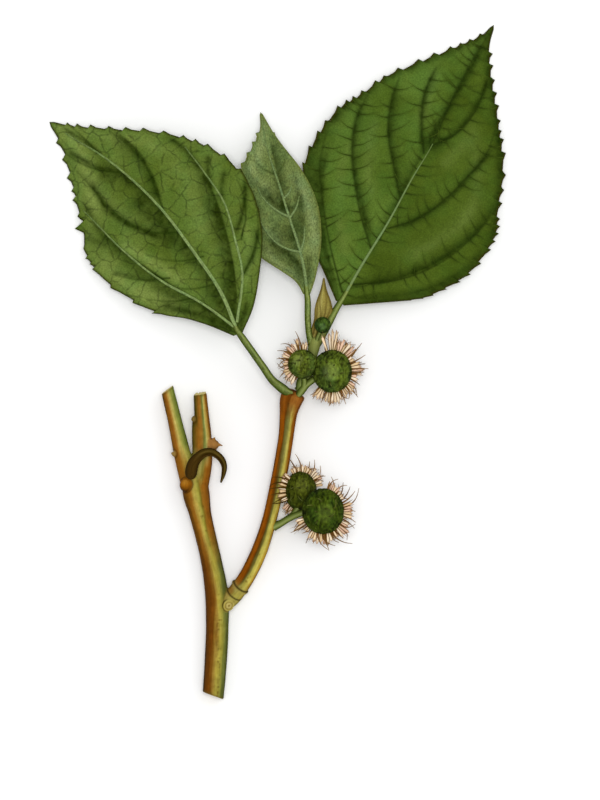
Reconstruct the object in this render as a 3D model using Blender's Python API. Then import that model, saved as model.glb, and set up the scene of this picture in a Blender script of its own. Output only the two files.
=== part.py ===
"""Paper mulberry sprig: a cut woody branch with two pruned stubs and a side shoot, which carries a
green shoot, three toothed leaves, four ball-shaped female flower heads and one unopened head.

The sprig lies on the plane z = 0. All dimensions below are in millimetres; finish() scales each
finished mesh to metres.  +Y runs along the branch, +Z up, origin under the middle of the sprig.
"""
import math
import random

import bmesh
import bpy
import numpy as np
from mathutils import Matrix, Vector

MM = 0.001
MIDDLE = (0.09, -0.43)  # middle of the drawing's bounding box, which becomes the origin
BLADE = 0.65            # leaf thickness
TOOTH_DEPTH = 1.7       # leaf teeth, notch to tip
TOOTH_PEAK = 0.68       # where in its pitch each tooth is highest: it points to the leaf tip
PUCKER = 0.55           # swelling of a blade between its side veins
SIDE_VEINS = 7          # side veins along one half of a large leaf
STYLE_RADII = (0.62, 0.5, 0.22)     # thread-like style: root, middle, tip
TUFT_THICKNESS = 0.6    # lobes between the styles
HEAD_FLORETS = 90
HEAD_LOBES = 26
HEAD_STYLES = 24
HEAD_RADII = {"upper_front": (7.7, 7.7, 7.5), "upper_rear": (5.6, 5.8, 5.6),
              "lower_front": (8.5, 8.3, 8.2), "lower_rear": (6.4, 7.5, 6.8)}

# Branch centre lines: x, y, z, radius
MAIN_STEM = [(-25.7, -133.8, 4.1, 4.3), (-24.6, -119, 4.25, 4.45), (-24.0, -103.4, 4.6, 4.6),
             (-24.1, -95.4, 4.8, 4.7), (-26.6, -79, 5.0, 4.15), (-30.8, -61, 5.6, 4.4),
             (-32.8, -50.5, 6.2, 5.3), (-33.3, -43.5, 6.4, 3.6)]
LEFT_STUB = [(-34.6, -50.5, 6.0, 3.6), (-37.4, -39.5, 6.2, 3.5), (-40.6, -25.4, 6.6, 2.9),
             (-44.0, -11.2, 7.2, 2.65)]
RIGHT_STUB = [(-31.6, -50, 6.4, 4.1), (-29.7, -39.4, 7.0, 3.7), (-29.6, -29.8, 7.6, 3.25),
              (-30.4, -20, 8.2, 2.9), (-30.9, -12.9, 8.6, 2.65)]
SIDE_SHOOT = [(-23.2, -98.4, 5.2, 3.2), (-18.1, -94.2, 5.5, 3.5), (-14.6, -89.8, 5.6, 3.3),
              (-6.9, -75, 5.8, 3.2), (-3.2, -63.4, 5.9, 2.9), (-0.4, -51.4, 6.1, 3.0),
              (1.9, -40, 6.7, 3.05), (3.8, -27.4, 8.0, 3.15), (4.5, -20.5, 8.9, 3.6),
              (5.4, -14.6, 9.6, 4.4), (6.2, -11.2, 10.0, 3.2), (6.5, -10.0, 10.2, 1.6)]
STEM_CUT = (-0.42, -0.88, 0.12)         # outward normals of the cut ends
LEFT_CUT = (-0.58, 0.78, 0.25)
RIGHT_CUT = (-0.22, 0.96, 0.1)
COLLARS = [((-18.5, -94.6, 5.5), 4.05), ((-15.1, -90.6, 5.6), 3.95)]
COLLAR_AXIS = (0.62, 0.78, 0.05)
SCAR_CENTRE = (-19.9, -97.3, 7.2)       # round leaf scar, with a raised rim and a raised middle
SCAR_AXIS = (0.35, -0.25, 0.9)
SCAR_PROFILE = [(-1.6, 2.8), (1.2, 2.7), (1.5, 2.4), (1.2, 1.9), (1.7, 1.3), (1.6, 0.6)]
KNOB_CENTRE = (-36.2, -49.4, 9.2)
KNOB_RADII = (2.9, 2.9, 2.8)
POINTED_KNOBS = [[(-40.0, -37.2, 7.4, 1.6), (-41.4, -36.9, 8.0, 1.1), (-42.4, -36.6, 8.4, 0.4)],
                 [(-32.0, -23.6, 8.4, 1.3), (-33.2, -22.2, 8.6, 1.0), (-33.6, -20.6, 8.7, 0.5)]]
TORN_SCALE = [(-28.0, -33.0, 8.4, 2.6), (-25.4, -33.0, 9.0, 1.9), (-23.2, -33.2, 9.3, 1.0),
              (-21.6, -33.4, 9.4, 0.35)]
GREEN_SHOOT = [(9.7, -11.0, 10.0, 1.95), (12.0, -8.0, 10.4, 1.9), (13.6, -1.0, 10.7, 1.8),
               (14.4, 4.6, 10.9, 2.05), (15.5, 8.3, 11.1, 1.55)]
BRACT = [(10.6, -9.2, 10.6, 1.1), (9.0, -7.6, 11.6, 0.9), (8.2, -5.8, 12.1, 0.35)]

# Petioles: x, y, z, radius, from the axil to the blade
LEFT_PETIOLE = [(1.9, -10.9, 10.2, 2.1), (-1.2, -8.0, 10.9, 1.7), (-5.7, -2.1, 12.3, 1.55),
                (-10.3, 4.4, 14.0, 1.5), (-14.0, 9.6, 15.3, 1.4)]
MIDDLE_PETIOLE = [(14.4, 9.6, 11.2, 1.3), (13.3, 16.5, 11.8, 1.3), (12.2, 25.0, 12.3, 1.25)]
RIGHT_PETIOLE = [(17.4, 9.6, 11.2, 1.45), (20.0, 14.2, 11.2, 1.4), (24.0, 21.6, 11.1, 1.3)]

# Leaves.  midrib: x, y, z of the upper face.  half widths and edge heights: share of the
# midrib's length, then millimetres.
LEAVES = {
    "left_leaf": {
        "midrib": [(-15.6, 11.0, 15.8), (-22.2, 27.1, 17.4), (-33.6, 44.2, 17.6), (-46.7, 61.4, 15.6),
                   (-58.1, 72.8, 12.4), (-70.4, 82.6, 8.4), (-82.6, 90.0, 3.6), (-91.4, 96.1, 0.65)],
        "right": [(0, 2.0), (0.05, 7.8), (0.13, 15.2), (0.24, 26.8), (0.33, 32.0), (0.44, 34.0),
                  (0.52, 32.0), (0.6, 27.4), (0.7, 19.8), (0.8, 11.4), (0.9, 5.8), (1, 0.5)],
        "left": [(0, 2.0), (0.05, 8.2), (0.1, 14.8), (0.2, 25.2), (0.3, 31.2), (0.4, 35.4), (0.5, 36.0),
                 (0.58, 34.4), (0.66, 28.4), (0.76, 21.0), (0.83, 15.4), (0.9, 7.4), (1, 0.5)],
        "right_edge": [(0, 15.8), (0.1, 15.6), (0.2, 14.8), (0.3, 15.2), (0.4, 15.6), (0.5, 14.6),
                       (0.6, 12.0), (0.7, 9.0), (0.8, 6.3), (0.9, 3.2), (1, 0.65)],
        "left_edge": [(0, 15.8), (0.1, 12.6), (0.2, 9.4), (0.3, 7.0), (0.45, 4.6), (0.6, 2.9),
                      (0.75, 1.6), (0.9, 1.0), (1, 0.65)],
        "teeth": 21, "toothed_from": 0.12, "colour": (0.07, 0.115, 0.016)},
    "middle_leaf": {
        "midrib": [(11.8, 27.0, 12.6), (11.5, 31.2, 13.0), (9.2, 43.8, 13.4), (4.8, 57.7, 13.2),
                   (0.3, 72.0, 12.2), (-4.2, 85.8, 10.6), (-6.7, 99.8, 8.8)],
        "right": [(0, 1.4), (0.07, 3.7), (0.16, 6.5), (0.28, 10.0), (0.4, 12.2), (0.53, 12.1),
                  (0.64, 10.4), (0.74, 7.9), (0.87, 4.3), (1, 0.4)],
        "left": [(0, 1.4), (0.073, 4.1), (0.15, 9.4), (0.24, 15.2), (0.32, 17.2), (0.44, 17.0),
                 (0.63, 15.1), (0.74, 12.7), (0.83, 5.9), (0.9, 2.2), (1, 0.4)],
        "right_edge": [(0, 12.6), (0.2, 11.9), (0.4, 11.6), (0.6, 10.9), (0.8, 9.9), (1, 8.8)],
        "left_edge": [(0, 12.6), (0.2, 11.2), (0.35, 10.6), (0.6, 10.2), (0.8, 9.8), (1, 8.8)],
        "teeth": 15, "toothed_from": 0.16, "colour": (0.085, 0.125, 0.026)},
    "right_leaf": {
        "midrib": [(25.1, 23.4, 11.6), (33.3, 37.7, 12.2), (44.8, 56.5, 12.4), (54.6, 74.4, 11.4),
                   (61.5, 85.8, 10.0), (69.2, 102.2, 7.0), (79.0, 121.8, 2.7), (86.8, 135.0, 0.65)],
        "right": [(0, 2.0), (0.06, 13.4), (0.1, 20.8), (0.15, 28.2), (0.2, 32.4), (0.28, 38.2),
                  (0.36, 40.5), (0.43, 40.3), (0.52, 35.6), (0.64, 27.2), (0.78, 16.2), (0.88, 7.6),
                  (0.95, 2.6), (1, 0.5)],
        "left": [(0, 2.0), (0.07, 13.8), (0.13, 24.7), (0.21, 34.0), (0.3, 40.2), (0.38, 41.8),
                 (0.48, 40.8), (0.6, 36.4), (0.7, 29.0), (0.8, 18.2), (0.88, 9.0), (0.95, 2.6), (1, 0.5)],
        "right_edge": [(0, 11.6), (0.1, 9.6), (0.2, 7.4), (0.3, 5.6), (0.42, 4.2), (0.55, 3.4),
                       (0.7, 2.4), (0.85, 1.3), (1, 0.65)],
        "left_edge": [(0, 11.6), (0.1, 9.8), (0.2, 7.8), (0.32, 6.6), (0.45, 6.4), (0.6, 5.6),
                      (0.75, 3.7), (0.88, 1.6), (1, 0.65)],
        "teeth": 22, "toothed_from": 0.1, "colour": (0.05, 0.092, 0.008)},
}
STIPULE = {
    "midrib": [(17.6, 17.2, 13.3), (18.0, 20.5, 14.2), (18.4, 26.0, 14.6), (18.6, 33.5, 13.0)],
    "right": [(0, 1.5), (0.2, 3.4), (0.4, 4.4), (0.55, 3.2), (0.8, 1.3), (1, 0.3)],
    "left": [(0, 1.5), (0.2, 2.9), (0.35, 3.0), (0.55, 2.2), (0.8, 1.0), (1, 0.3)],
    "right_edge": [(0, 13.2), (0.4, 12.9), (1, 13.0)],
    "left_edge": [(0, 13.2), (0.4, 13.3), (1, 13.0)],
    "teeth": 0, "toothed_from": 1}
STIPULE_BASE = [(16.3, 11.2, 12.5, 0.45), (17.0, 14.2, 12.6, 0.5), (17.6, 17.6, 13.0, 0.6)]

HEADS = {
    "fruit_head_upper_front": ("upper_front", (22.8, -3.9, 17.2), 11),
    "fruit_head_upper_rear": ("upper_rear", (9.6, -0.9, 18.6), 12),
    "fruit_head_lower_front": ("lower_front", (17.9, -61.4, 16.9), 13),
    "fruit_head_lower_rear": ("lower_rear", (9.6, -51.8, 6.2), 14)}
BUD_CENTRE = (18.1, 14.6, 16.2)
BUD_RADIUS = 2.8
BUD_FLORETS = 40
BUD_STALK = [(15.6, 8.2, 13.9, 0.8), (16.3, 10.2, 14.3, 0.8), (17.3, 12.6, 15.2, 0.8)]

UPPER_STALK = [(8.0, -12.9, 13.4, 1.2), (9.6, -11.2, 14.2, 1.2), (11.0, -9.6, 14.6, 1.2)]
UPPER_ARMS = [[(10.6, -10.2, 14.5, 1.15), (10.8, -8.2, 15.4, 1.1), (10.6, -6.7, 16.6, 1.1)],
              [(10.4, -10.3, 14.5, 1.15), (13.6, -8.4, 14.8, 1.1), (15.9, -7.2, 15.2, 1.1)]]
LOWER_STALK = [(0.4, -64.3, 6.6, 1.3), (2.2, -63.4, 7.4, 1.3), (3.4, -62.6, 8.2, 1.3)]
LOWER_ARMS = [[(2.4, -63.2, 7.7, 1.2), (4.4, -60.9, 8.2, 1.15), (5.5, -58.6, 8.2, 1.1)],
              [(2.4, -63.2, 7.7, 1.2), (6.2, -62.8, 10.0, 1.15), (9.5, -62.3, 12.7, 1.15)]]
WITHERED_STALK = [(-34.3, -45.0, 14.0, 2.3), (-34.1, -41.2, 14.2, 2.3), (-32.3, -38.6, 14.0, 2.1),
                  (-29.6, -36.7, 13.4, 1.8), (-26.7, -36.2, 12.2, 1.6), (-24.0, -37.4, 10.9, 1.45),
                  (-22.0, -39.6, 9.8, 1.35), (-21.2, -42.2, 9.0, 1.15), (-21.5, -44.9, 8.4, 0.9),
                  (-22.6, -48.4, 7.8, 0.35)]


def smooth(table, where):
    """Cubic curve through rows of (position, value, ...), read at each position of where."""
    data = np.array(table, float)
    xs = data[:, 0]
    ys = data[:, 1:]
    slopes = np.gradient(ys, xs, axis=0)
    where = np.atleast_1d(np.asarray(where, float))
    i = np.clip(np.searchsorted(xs, where, side="right") - 1, 0, len(xs) - 2)
    step = (xs[i + 1] - xs[i])[:, None]
    u = (where[:, None] - xs[i][:, None]) / step
    start = (1 + 2 * u) * (1 - u) ** 2 * ys[i] + u * (1 - u) ** 2 * step * slopes[i]
    end = u * u * (3 - 2 * u) * ys[i + 1] + u * u * (u - 1) * step * slopes[i + 1]
    return start + end


def along(points, where):
    """Points of a smooth path through the given ones, at shares of its length."""
    data = np.array(points, float)
    steps = np.linalg.norm(np.diff(data[:, :3], axis=0), axis=1)
    share = np.concatenate([[0.0], np.cumsum(steps)]) / steps.sum()
    return smooth(np.column_stack([share, data]), where)


def unit(vectors):
    return vectors / np.linalg.norm(vectors, axis=-1, keepdims=True)


def mesh_object(name, verts, faces):
    """An object, in millimetres, with its faces pointing out."""
    mesh = bpy.data.meshes.new(name)
    mesh.from_pydata([tuple(map(float, v)) for v in verts], [], faces)
    bm = bmesh.new()
    bm.from_mesh(mesh)
    bmesh.ops.recalc_face_normals(bm, faces=bm.faces)
    bm.to_mesh(mesh)
    bm.free()
    return bpy.data.objects.new(name, mesh)


def tube(points, rings, sides, start_cut=None, end_cut=None):
    """Tapered closed tube along (x, y, z, radius) points; a cut is the outward normal of an end."""
    rows = along(points, np.linspace(0, 1, rings))
    centres = rows[:, :3]
    tangents = unit(np.gradient(centres, axis=0))
    reference = np.eye(3)[np.argmin(np.abs(tangents.mean(axis=0)))]
    if abs(tangents.mean(axis=0)[2]) < 0.8:
        reference = np.array((0.0, 0.0, 1.0))
    across = unit(np.cross(tangents, reference))
    above = np.cross(across, tangents)
    verts = []
    for i in range(rings):
        cut = {0: start_cut, rings - 1: end_cut}.get(i)
        for k in range(sides):
            turn = 2 * math.pi * (k + 0.5) / sides
            arm = rows[i, 3] * (math.cos(turn) * across[i] + math.sin(turn) * above[i])
            if cut is not None:
                slide = np.dot(arm, cut) / np.dot(tangents[i], cut)
                arm = arm - tangents[i] * slide
            verts.append(centres[i] + arm)
    faces = [tuple(range(sides)), tuple((rings - 1) * sides + k for k in range(sides))]
    for i in range(rings - 1):
        for k in range(sides):
            a = i * sides + k
            b = i * sides + (k + 1) % sides
            faces.append((a, b, b + sides, a + sides))
    return mesh_object("tube", verts, faces)


def ball(centre, radii, detail=2):
    """Faceted ellipsoid."""
    bm = bmesh.new()
    bmesh.ops.create_icosphere(bm, subdivisions=detail, radius=1.0)
    scale = Matrix.Diagonal((*radii, 1.0))
    bm.transform(Matrix.Translation(centre) @ scale)
    mesh = bpy.data.meshes.new("ball")
    bm.to_mesh(mesh)
    bm.free()
    return bpy.data.objects.new("ball", mesh)


def disc(centre, axis, profile, sides=12):
    """Turned button: (distance along the axis, radius) rings, closed at both ends."""
    axis = unit(np.array(axis, float))
    points = [(*(np.array(centre) + axis * rise), radius) for rise, radius in profile]
    across = unit(np.cross(axis, (0.3, 0.2, 1.0)))
    above = np.cross(across, axis)
    verts = []
    for x, y, z, radius in points:
        for k in range(sides):
            turn = 2 * math.pi * k / sides
            verts.append(np.array((x, y, z)) + radius * (math.cos(turn) * across + math.sin(turn) * above))
    last = (len(points) - 1) * sides
    faces = [tuple(range(sides)), tuple(last + k for k in range(sides))]
    for i in range(len(points) - 1):
        for k in range(sides):
            a = i * sides + k
            b = i * sides + (k + 1) % sides
            faces.append((a, b, b + sides, a + sides))
    return mesh_object("disc", verts, faces)


def fuse(body, pieces):
    """One Boolean union of a body with a collection of pieces, which are then removed."""
    scene = bpy.context.scene
    scene.collection.objects.link(body)
    group = bpy.data.collections.new("pieces")
    scene.collection.children.link(group)
    for piece in pieces:
        group.objects.link(piece)
    union = body.modifiers.new("union", "BOOLEAN")
    union.operation = "UNION"
    union.operand_type = "COLLECTION"
    union.collection = group
    union.solver = "EXACT"
    bpy.context.view_layer.update()
    evaluated = body.evaluated_get(bpy.context.evaluated_depsgraph_get())
    mesh = bpy.data.meshes.new_from_object(evaluated)
    body.modifiers.clear()
    body.data = mesh
    for piece in pieces:
        bpy.data.objects.remove(piece)
    bpy.data.collections.remove(group)
    scene.collection.objects.unlink(body)
    return body


def material(name, colour, roughness):
    result = bpy.data.materials.new(name)
    result.use_nodes = True
    shader = result.node_tree.nodes["Principled BSDF"]
    shader.inputs["Base Color"].default_value = (*colour, 1.0)
    shader.inputs["Roughness"].default_value = roughness
    shader.inputs["Metallic"].default_value = 0.0
    result.diffuse_color = (*colour, 1.0)
    return result


def finish(name, body, origin, colour, roughness, parent):
    """Name a finished piece, scale it to metres and set its origin where it is attached."""
    body.name = name
    body.data.name = name
    body.data.transform(Matrix.Scale(MM, 4) @ Matrix.Translation(-Vector(origin[:3])))
    body.data.materials.clear()
    body.data.materials.append(material(name, colour, roughness))
    body.data.shade_smooth()
    body.data.set_sharp_from_angle(angle=math.radians(50))
    body.location = Vector(origin[:3]) * MM
    body.parent = parent
    bpy.context.scene.collection.objects.link(body)


def tooth(share, leaf):
    """How far the toothed edge stands out of the leaf's mean outline at a share of its length."""
    if share <= leaf["toothed_from"] or share >= 0.995:
        return 0.0
    place = (share - leaf["toothed_from"]) / (1 - leaf["toothed_from"]) * leaf["teeth"]
    phase = place % 1.0
    rise = phase / TOOTH_PEAK if phase < TOOTH_PEAK else (1 - phase) / (1 - TOOTH_PEAK)
    fade = min(1.0, (share - leaf["toothed_from"]) * 6) * min(1.0, (1 - share) * 8)
    return TOOTH_DEPTH * (rise - 0.5) * fade


def stations(leaf, plain_rows):
    """Shares of the leaf's length for its rows: each notch and each tooth's peak."""
    base = list(np.linspace(0, leaf["toothed_from"], plain_rows + 1))
    pitch = (1 - leaf["toothed_from"]) / max(leaf["teeth"], 1)
    for k in range(leaf["teeth"]):
        notch = leaf["toothed_from"] + k * pitch
        base += [notch + 0.001 * pitch, notch + TOOTH_PEAK * pitch]
    return sorted(set(round(s, 5) for s in base if s < 0.99))


def leaf_point(leaf, share, side, out):
    """Point of the upper face, out = 0 on the midrib and 1 at the edge; side is 1 right, -1 left."""
    midrib = along(leaf["midrib"], [share - 0.01, share, share + 0.01])
    forward = unit(midrib[2, :2] - midrib[0, :2])
    normal = side * np.array((forward[1], -forward[0]))
    half = smooth(leaf["right" if side > 0 else "left"], share)[0, 0]
    half += tooth(share, leaf) * out ** 4
    flat = midrib[1, :2] + normal * half * out
    edge = smooth(leaf["right_edge" if side > 0 else "left_edge"], share)[0, 0]
    rise = midrib[1, 2] + (edge - midrib[1, 2]) * out ** 1.5
    swell = PUCKER * min(1.0, half / 12)
    vein = (share - 0.36 * out ** 1.3) * SIDE_VEINS
    rise += swell * (math.sin(math.pi * vein) ** 2 - 0.5) * 4 * out * (1 - 0.75 * out)
    rise += 0.7 * swell * math.sin(share * 29 + side) * out ** 3
    return np.array((flat[0], flat[1], max(rise, BLADE)))


def blade(leaf, rows, spread, rib_drop):
    """Leaf solid: rows of points across it, the lower face a copy with a keel under the midrib."""
    top = []
    bottom = []
    for share in rows:
        half = min(smooth(leaf[key], share)[0, 0] for key in ("right", "left"))
        rib = min(0.3, (0.5 + 0.8 * (1 - share)) / max(half, 0.1))
        outs = [(-1, s) for s in reversed(spread)] + [(-1, rib), (1, 0.0), (1, rib)]
        outs += [(1, s) for s in spread]
        line = [leaf_point(leaf, share, side, out) for side, out in outs]
        under = [np.array((p[0], p[1], max(p[2] - BLADE, 0.0))) for p in line]
        middle = len(line) // 2
        under[middle][2] = max(line[middle][2] - BLADE - rib_drop * (1 - share), 0.0)
        top.append(line)
        bottom.append(under)
    tip = along(leaf["midrib"], [1.0])[0]
    columns = len(top[0])
    count = len(rows) * columns
    verts = [p for line in top for p in line] + [p for line in bottom for p in line]
    verts += [tip, tip - np.array((0, 0, BLADE))]
    faces = []
    for i in range(len(rows) - 1):
        for k in range(columns - 1):
            a = i * columns + k
            corners = (a, a + 1, a + columns + 1, a + columns)
            pairs = [(0, 1, 2), (0, 2, 3)] if k < columns // 2 else [(0, 1, 3), (1, 2, 3)]
            for triple in pairs:
                faces.append(tuple(corners[t] for t in triple))
                faces.append(tuple(corners[t] + count for t in reversed(triple)))
        for k in (0, columns - 1):
            a = i * columns + k
            faces.append((a, a + columns, a + columns + count))
            faces.append((a, a + columns + count, a + count))
    last = (len(rows) - 1) * columns
    for k in range(columns - 1):
        faces.append((k, k + 1, k + 1 + count))
        faces.append((k, k + 1 + count, k + count))
        faces.append((last + k, last + k + 1, 2 * count))
        faces.append((last + k + 1 + count, last + k + count, 2 * count + 1))
    for k in (0, columns - 1):
        faces.append((last + k, 2 * count, 2 * count + 1))
        faces.append((last + k, 2 * count + 1, last + k + count))
    return mesh_object("blade", verts, faces)


def stalked_leaf(name, leaf, petiole, spread, plain_rows, parent):
    """Blade and petiole, which runs on under the base of the midrib."""
    body = blade(leaf, stations(leaf, plain_rows), spread, rib_drop=0.9)
    run = list(petiole)
    for share, drop, radius in ((0.02, 0.55, 1.15), (0.08, 0.75, 0.75)):
        x, y, z = along(leaf["midrib"], [share])[0]
        run.append((x, y, z - drop, radius))
    body = fuse(body, [tube(run, 9, 8)])
    finish(name, body, petiole[0], leaf["colour"], 0.6, parent)


def even_directions(count, turn=0.0):
    """Directions spread evenly over a sphere."""
    golden = math.pi * (3 - math.sqrt(5))
    result = []
    for k in range(count):
        z = 1 - (2 * k + 1) / count
        flat = math.sqrt(1 - z * z)
        result.append(np.array((flat * math.cos(golden * k + turn), flat * math.sin(golden * k + turn), z)))
    return result


def flatten_underside(bm):
    """Cut a closed mesh flat on the resting surface."""
    everything = bm.verts[:] + bm.edges[:] + bm.faces[:]
    bmesh.ops.bisect_plane(bm, geom=everything, plane_co=(0, 0, 0), plane_no=(0, 0, -1), clear_outer=True)
    rim = [edge for edge in bm.edges if edge.is_boundary]
    if rim:
        bmesh.ops.edgeloop_fill(bm, edges=rim)


def floret_core(centre, radii, florets, relief):
    """Ball closed by pointed florets: the hull of even points, each facet raised to a peak."""
    bm = bmesh.new()
    for way in even_directions(florets // 2 + 2):       # a hull of n points has 2 n - 4 facets
        bm.verts.new(Vector(np.array(centre) + way * radii))
    bmesh.ops.convex_hull(bm, input=bm.verts)
    bmesh.ops.recalc_face_normals(bm, faces=bm.faces)
    bmesh.ops.poke(bm, faces=bm.faces, offset=relief)
    flatten_underside(bm)
    mesh = bpy.data.meshes.new("core")
    bm.to_mesh(mesh)
    bm.free()
    return bpy.data.objects.new("core", mesh)


def dividing_walls(name):
    """Planes halfway to the other heads: a point on each and its normal towards this head."""
    size, centre, _ = HEADS[name]
    walls = []
    for node, (other_size, place, _) in HEADS.items():
        if node != name:
            gap = np.array(centre) - np.array(place)
            distance = np.linalg.norm(gap)
            share = (distance + max(HEAD_RADII[other_size]) - max(HEAD_RADII[size])) / 2
            walls.append((np.array(place) + gap / distance * share, gap / distance))
    return walls


def clearance(points, obstacles, walls):
    """Least distance from points to obstacles, rows of (x, y, z, radius), and to dividing walls."""
    least = min(np.dot(point - place, normal) for point in points for place, normal in walls)
    for rows in obstacles:
        for point in points:
            distances = np.linalg.norm(rows[:, :3] - point, axis=1) - rows[:, 3]
            least = min(least, distances.min())
    return least


def style_points(centre, way, radii, length, lean, obstacles, walls):
    """A style's bent centre line from inside the core, shortened until it clears its neighbours."""
    start = np.array(centre) + way * radii * 0.86
    for shorter in (1.0, 0.8, 0.6, 0.45, 0.3):
        reach = radii.mean() * 0.14 + length * shorter
        ends = [start, start + way * reach * 0.55 + lean * 0.25 * reach,
                start + way * reach * 0.95 + lean * 0.75 * reach]
        for point in ends[1:]:
            point[2] = max(point[2], 0.75)
        samples = np.linspace(ends[0], ends[1], 4).tolist() + np.linspace(ends[1], ends[2], 4).tolist()
        outer = np.array(samples[2:])
        if clearance(outer, obstacles, walls) > 0.75:
            return ends
    return None


def tuft(centre, way, radii, length, spin, obstacles, walls):
    """Flat lobe of a flower's cup, wider and cut slanting at its outer end."""
    side = unit(np.cross(way, (0.31, 0.17, 0.93)))
    side = unit(side * math.cos(spin) + np.cross(way, side) * math.sin(spin))
    thick = np.cross(way, side) * TUFT_THICKNESS / 2
    root = np.array(centre) + way * radii * 0.9
    surface = np.array(centre) + way * radii
    ends = [(root, 0.55), (surface + way * length, 0.95)]
    if clearance(np.linspace(surface + way * 0.8, ends[1][0], 4), obstacles, walls) < 1.45:
        return None
    if ends[1][0][2] < 1.3:
        return None
    slant = way * length * 0.12
    verts = []
    for k, (place, half) in enumerate(ends):
        for across, lift in ((-1, -1), (1, -1), (1, 1), (-1, 1)):
            verts.append(place + side * half * across + thick * lift + slant * across * k)
    faces = [(0, 1, 2, 3), (4, 5, 6, 7)] + [(a, (a + 1) % 4, (a + 1) % 4 + 4, a + 4) for a in range(4)]
    return mesh_object("tuft", verts, faces)


def flower_head(name, centre, radii, seed, obstacles, parent):
    """Core of florets with lobes and styles standing out all round it, fused in one solid."""
    radii = np.array(radii)
    walls = dividing_walls(name)
    rng = random.Random(seed)
    pieces = []
    for way in even_directions(HEAD_STYLES, turn=seed):
        lean = np.cross(way, [rng.uniform(-1, 1) for _ in range(3)])
        length = rng.uniform(3.2, 6.2)
        lean = unit(lean) * rng.uniform(0.1, 0.7)
        ends = style_points(centre, way, radii, length, lean, obstacles, walls)
        if ends is None:
            continue
        pieces.append(tube([(*p, r) for p, r in zip(ends, STYLE_RADII)], 3, 3))
    for way in even_directions(HEAD_LOBES, turn=seed + 1.7):
        length = rng.uniform(2.6, 3.8)
        lobe = tuft(centre, way, radii, length, rng.uniform(0, math.pi), obstacles, walls)
        if lobe is not None:
            pieces.append(lobe)
    body = fuse(floret_core(centre, radii, HEAD_FLORETS, relief=0.6), pieces)
    finish(name, body, centre, (0.07, 0.1, 0.012), 0.75, parent)


def sampled(points, count=30):
    return along(points, np.linspace(0, 1, count))


def surface_rows(leaf, radius=0.5):
    """Coarse cover of a leaf by small balls, for keeping styles off it."""
    rows = []
    for share in np.linspace(0, 1, 30):
        for side in (-1, 1):
            for out in (0.0, 0.25, 0.5, 0.75, 1.0):
                rows.append((*leaf_point(leaf, share, side, out), radius))
    return np.array(rows)


def woody_branch(parent):
    stem = tube(MAIN_STEM, 12, 12, start_cut=STEM_CUT)
    pieces = [tube(LEFT_STUB, 7, 10, end_cut=LEFT_CUT), tube(RIGHT_STUB, 8, 10, end_cut=RIGHT_CUT),
              tube(SIDE_SHOOT, 18, 10), tube(TORN_SCALE, 5, 6), disc(SCAR_CENTRE, SCAR_AXIS, SCAR_PROFILE),
              ball(KNOB_CENTRE, KNOB_RADII)]
    for centre, radius in COLLARS:
        low = radius - 0.7
        pieces.append(disc(centre, COLLAR_AXIS, [(-0.6, low), (-0.35, radius), (0.35, radius), (0.6, low)]))
    for points in POINTED_KNOBS:
        pieces.append(tube(points, 3, 7))
    body = fuse(stem, pieces)
    for vert in body.data.vertices:
        vert.co.z = max(vert.co.z, 0.0)
    finish("woody_branch", body, MAIN_STEM[0], (0.23, 0.13, 0.02), 0.7, parent)


def forked_stalk(name, stalk, arms, sides, parent):
    body = fuse(tube(stalk, 4, sides), [tube(arm, 5, sides) for arm in arms])
    finish(name, body, stalk[0], (0.2, 0.25, 0.06), 0.6, parent)


def clear_scene():
    for item in list(bpy.data.objects):
        bpy.data.objects.remove(item, do_unlink=True)


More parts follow.
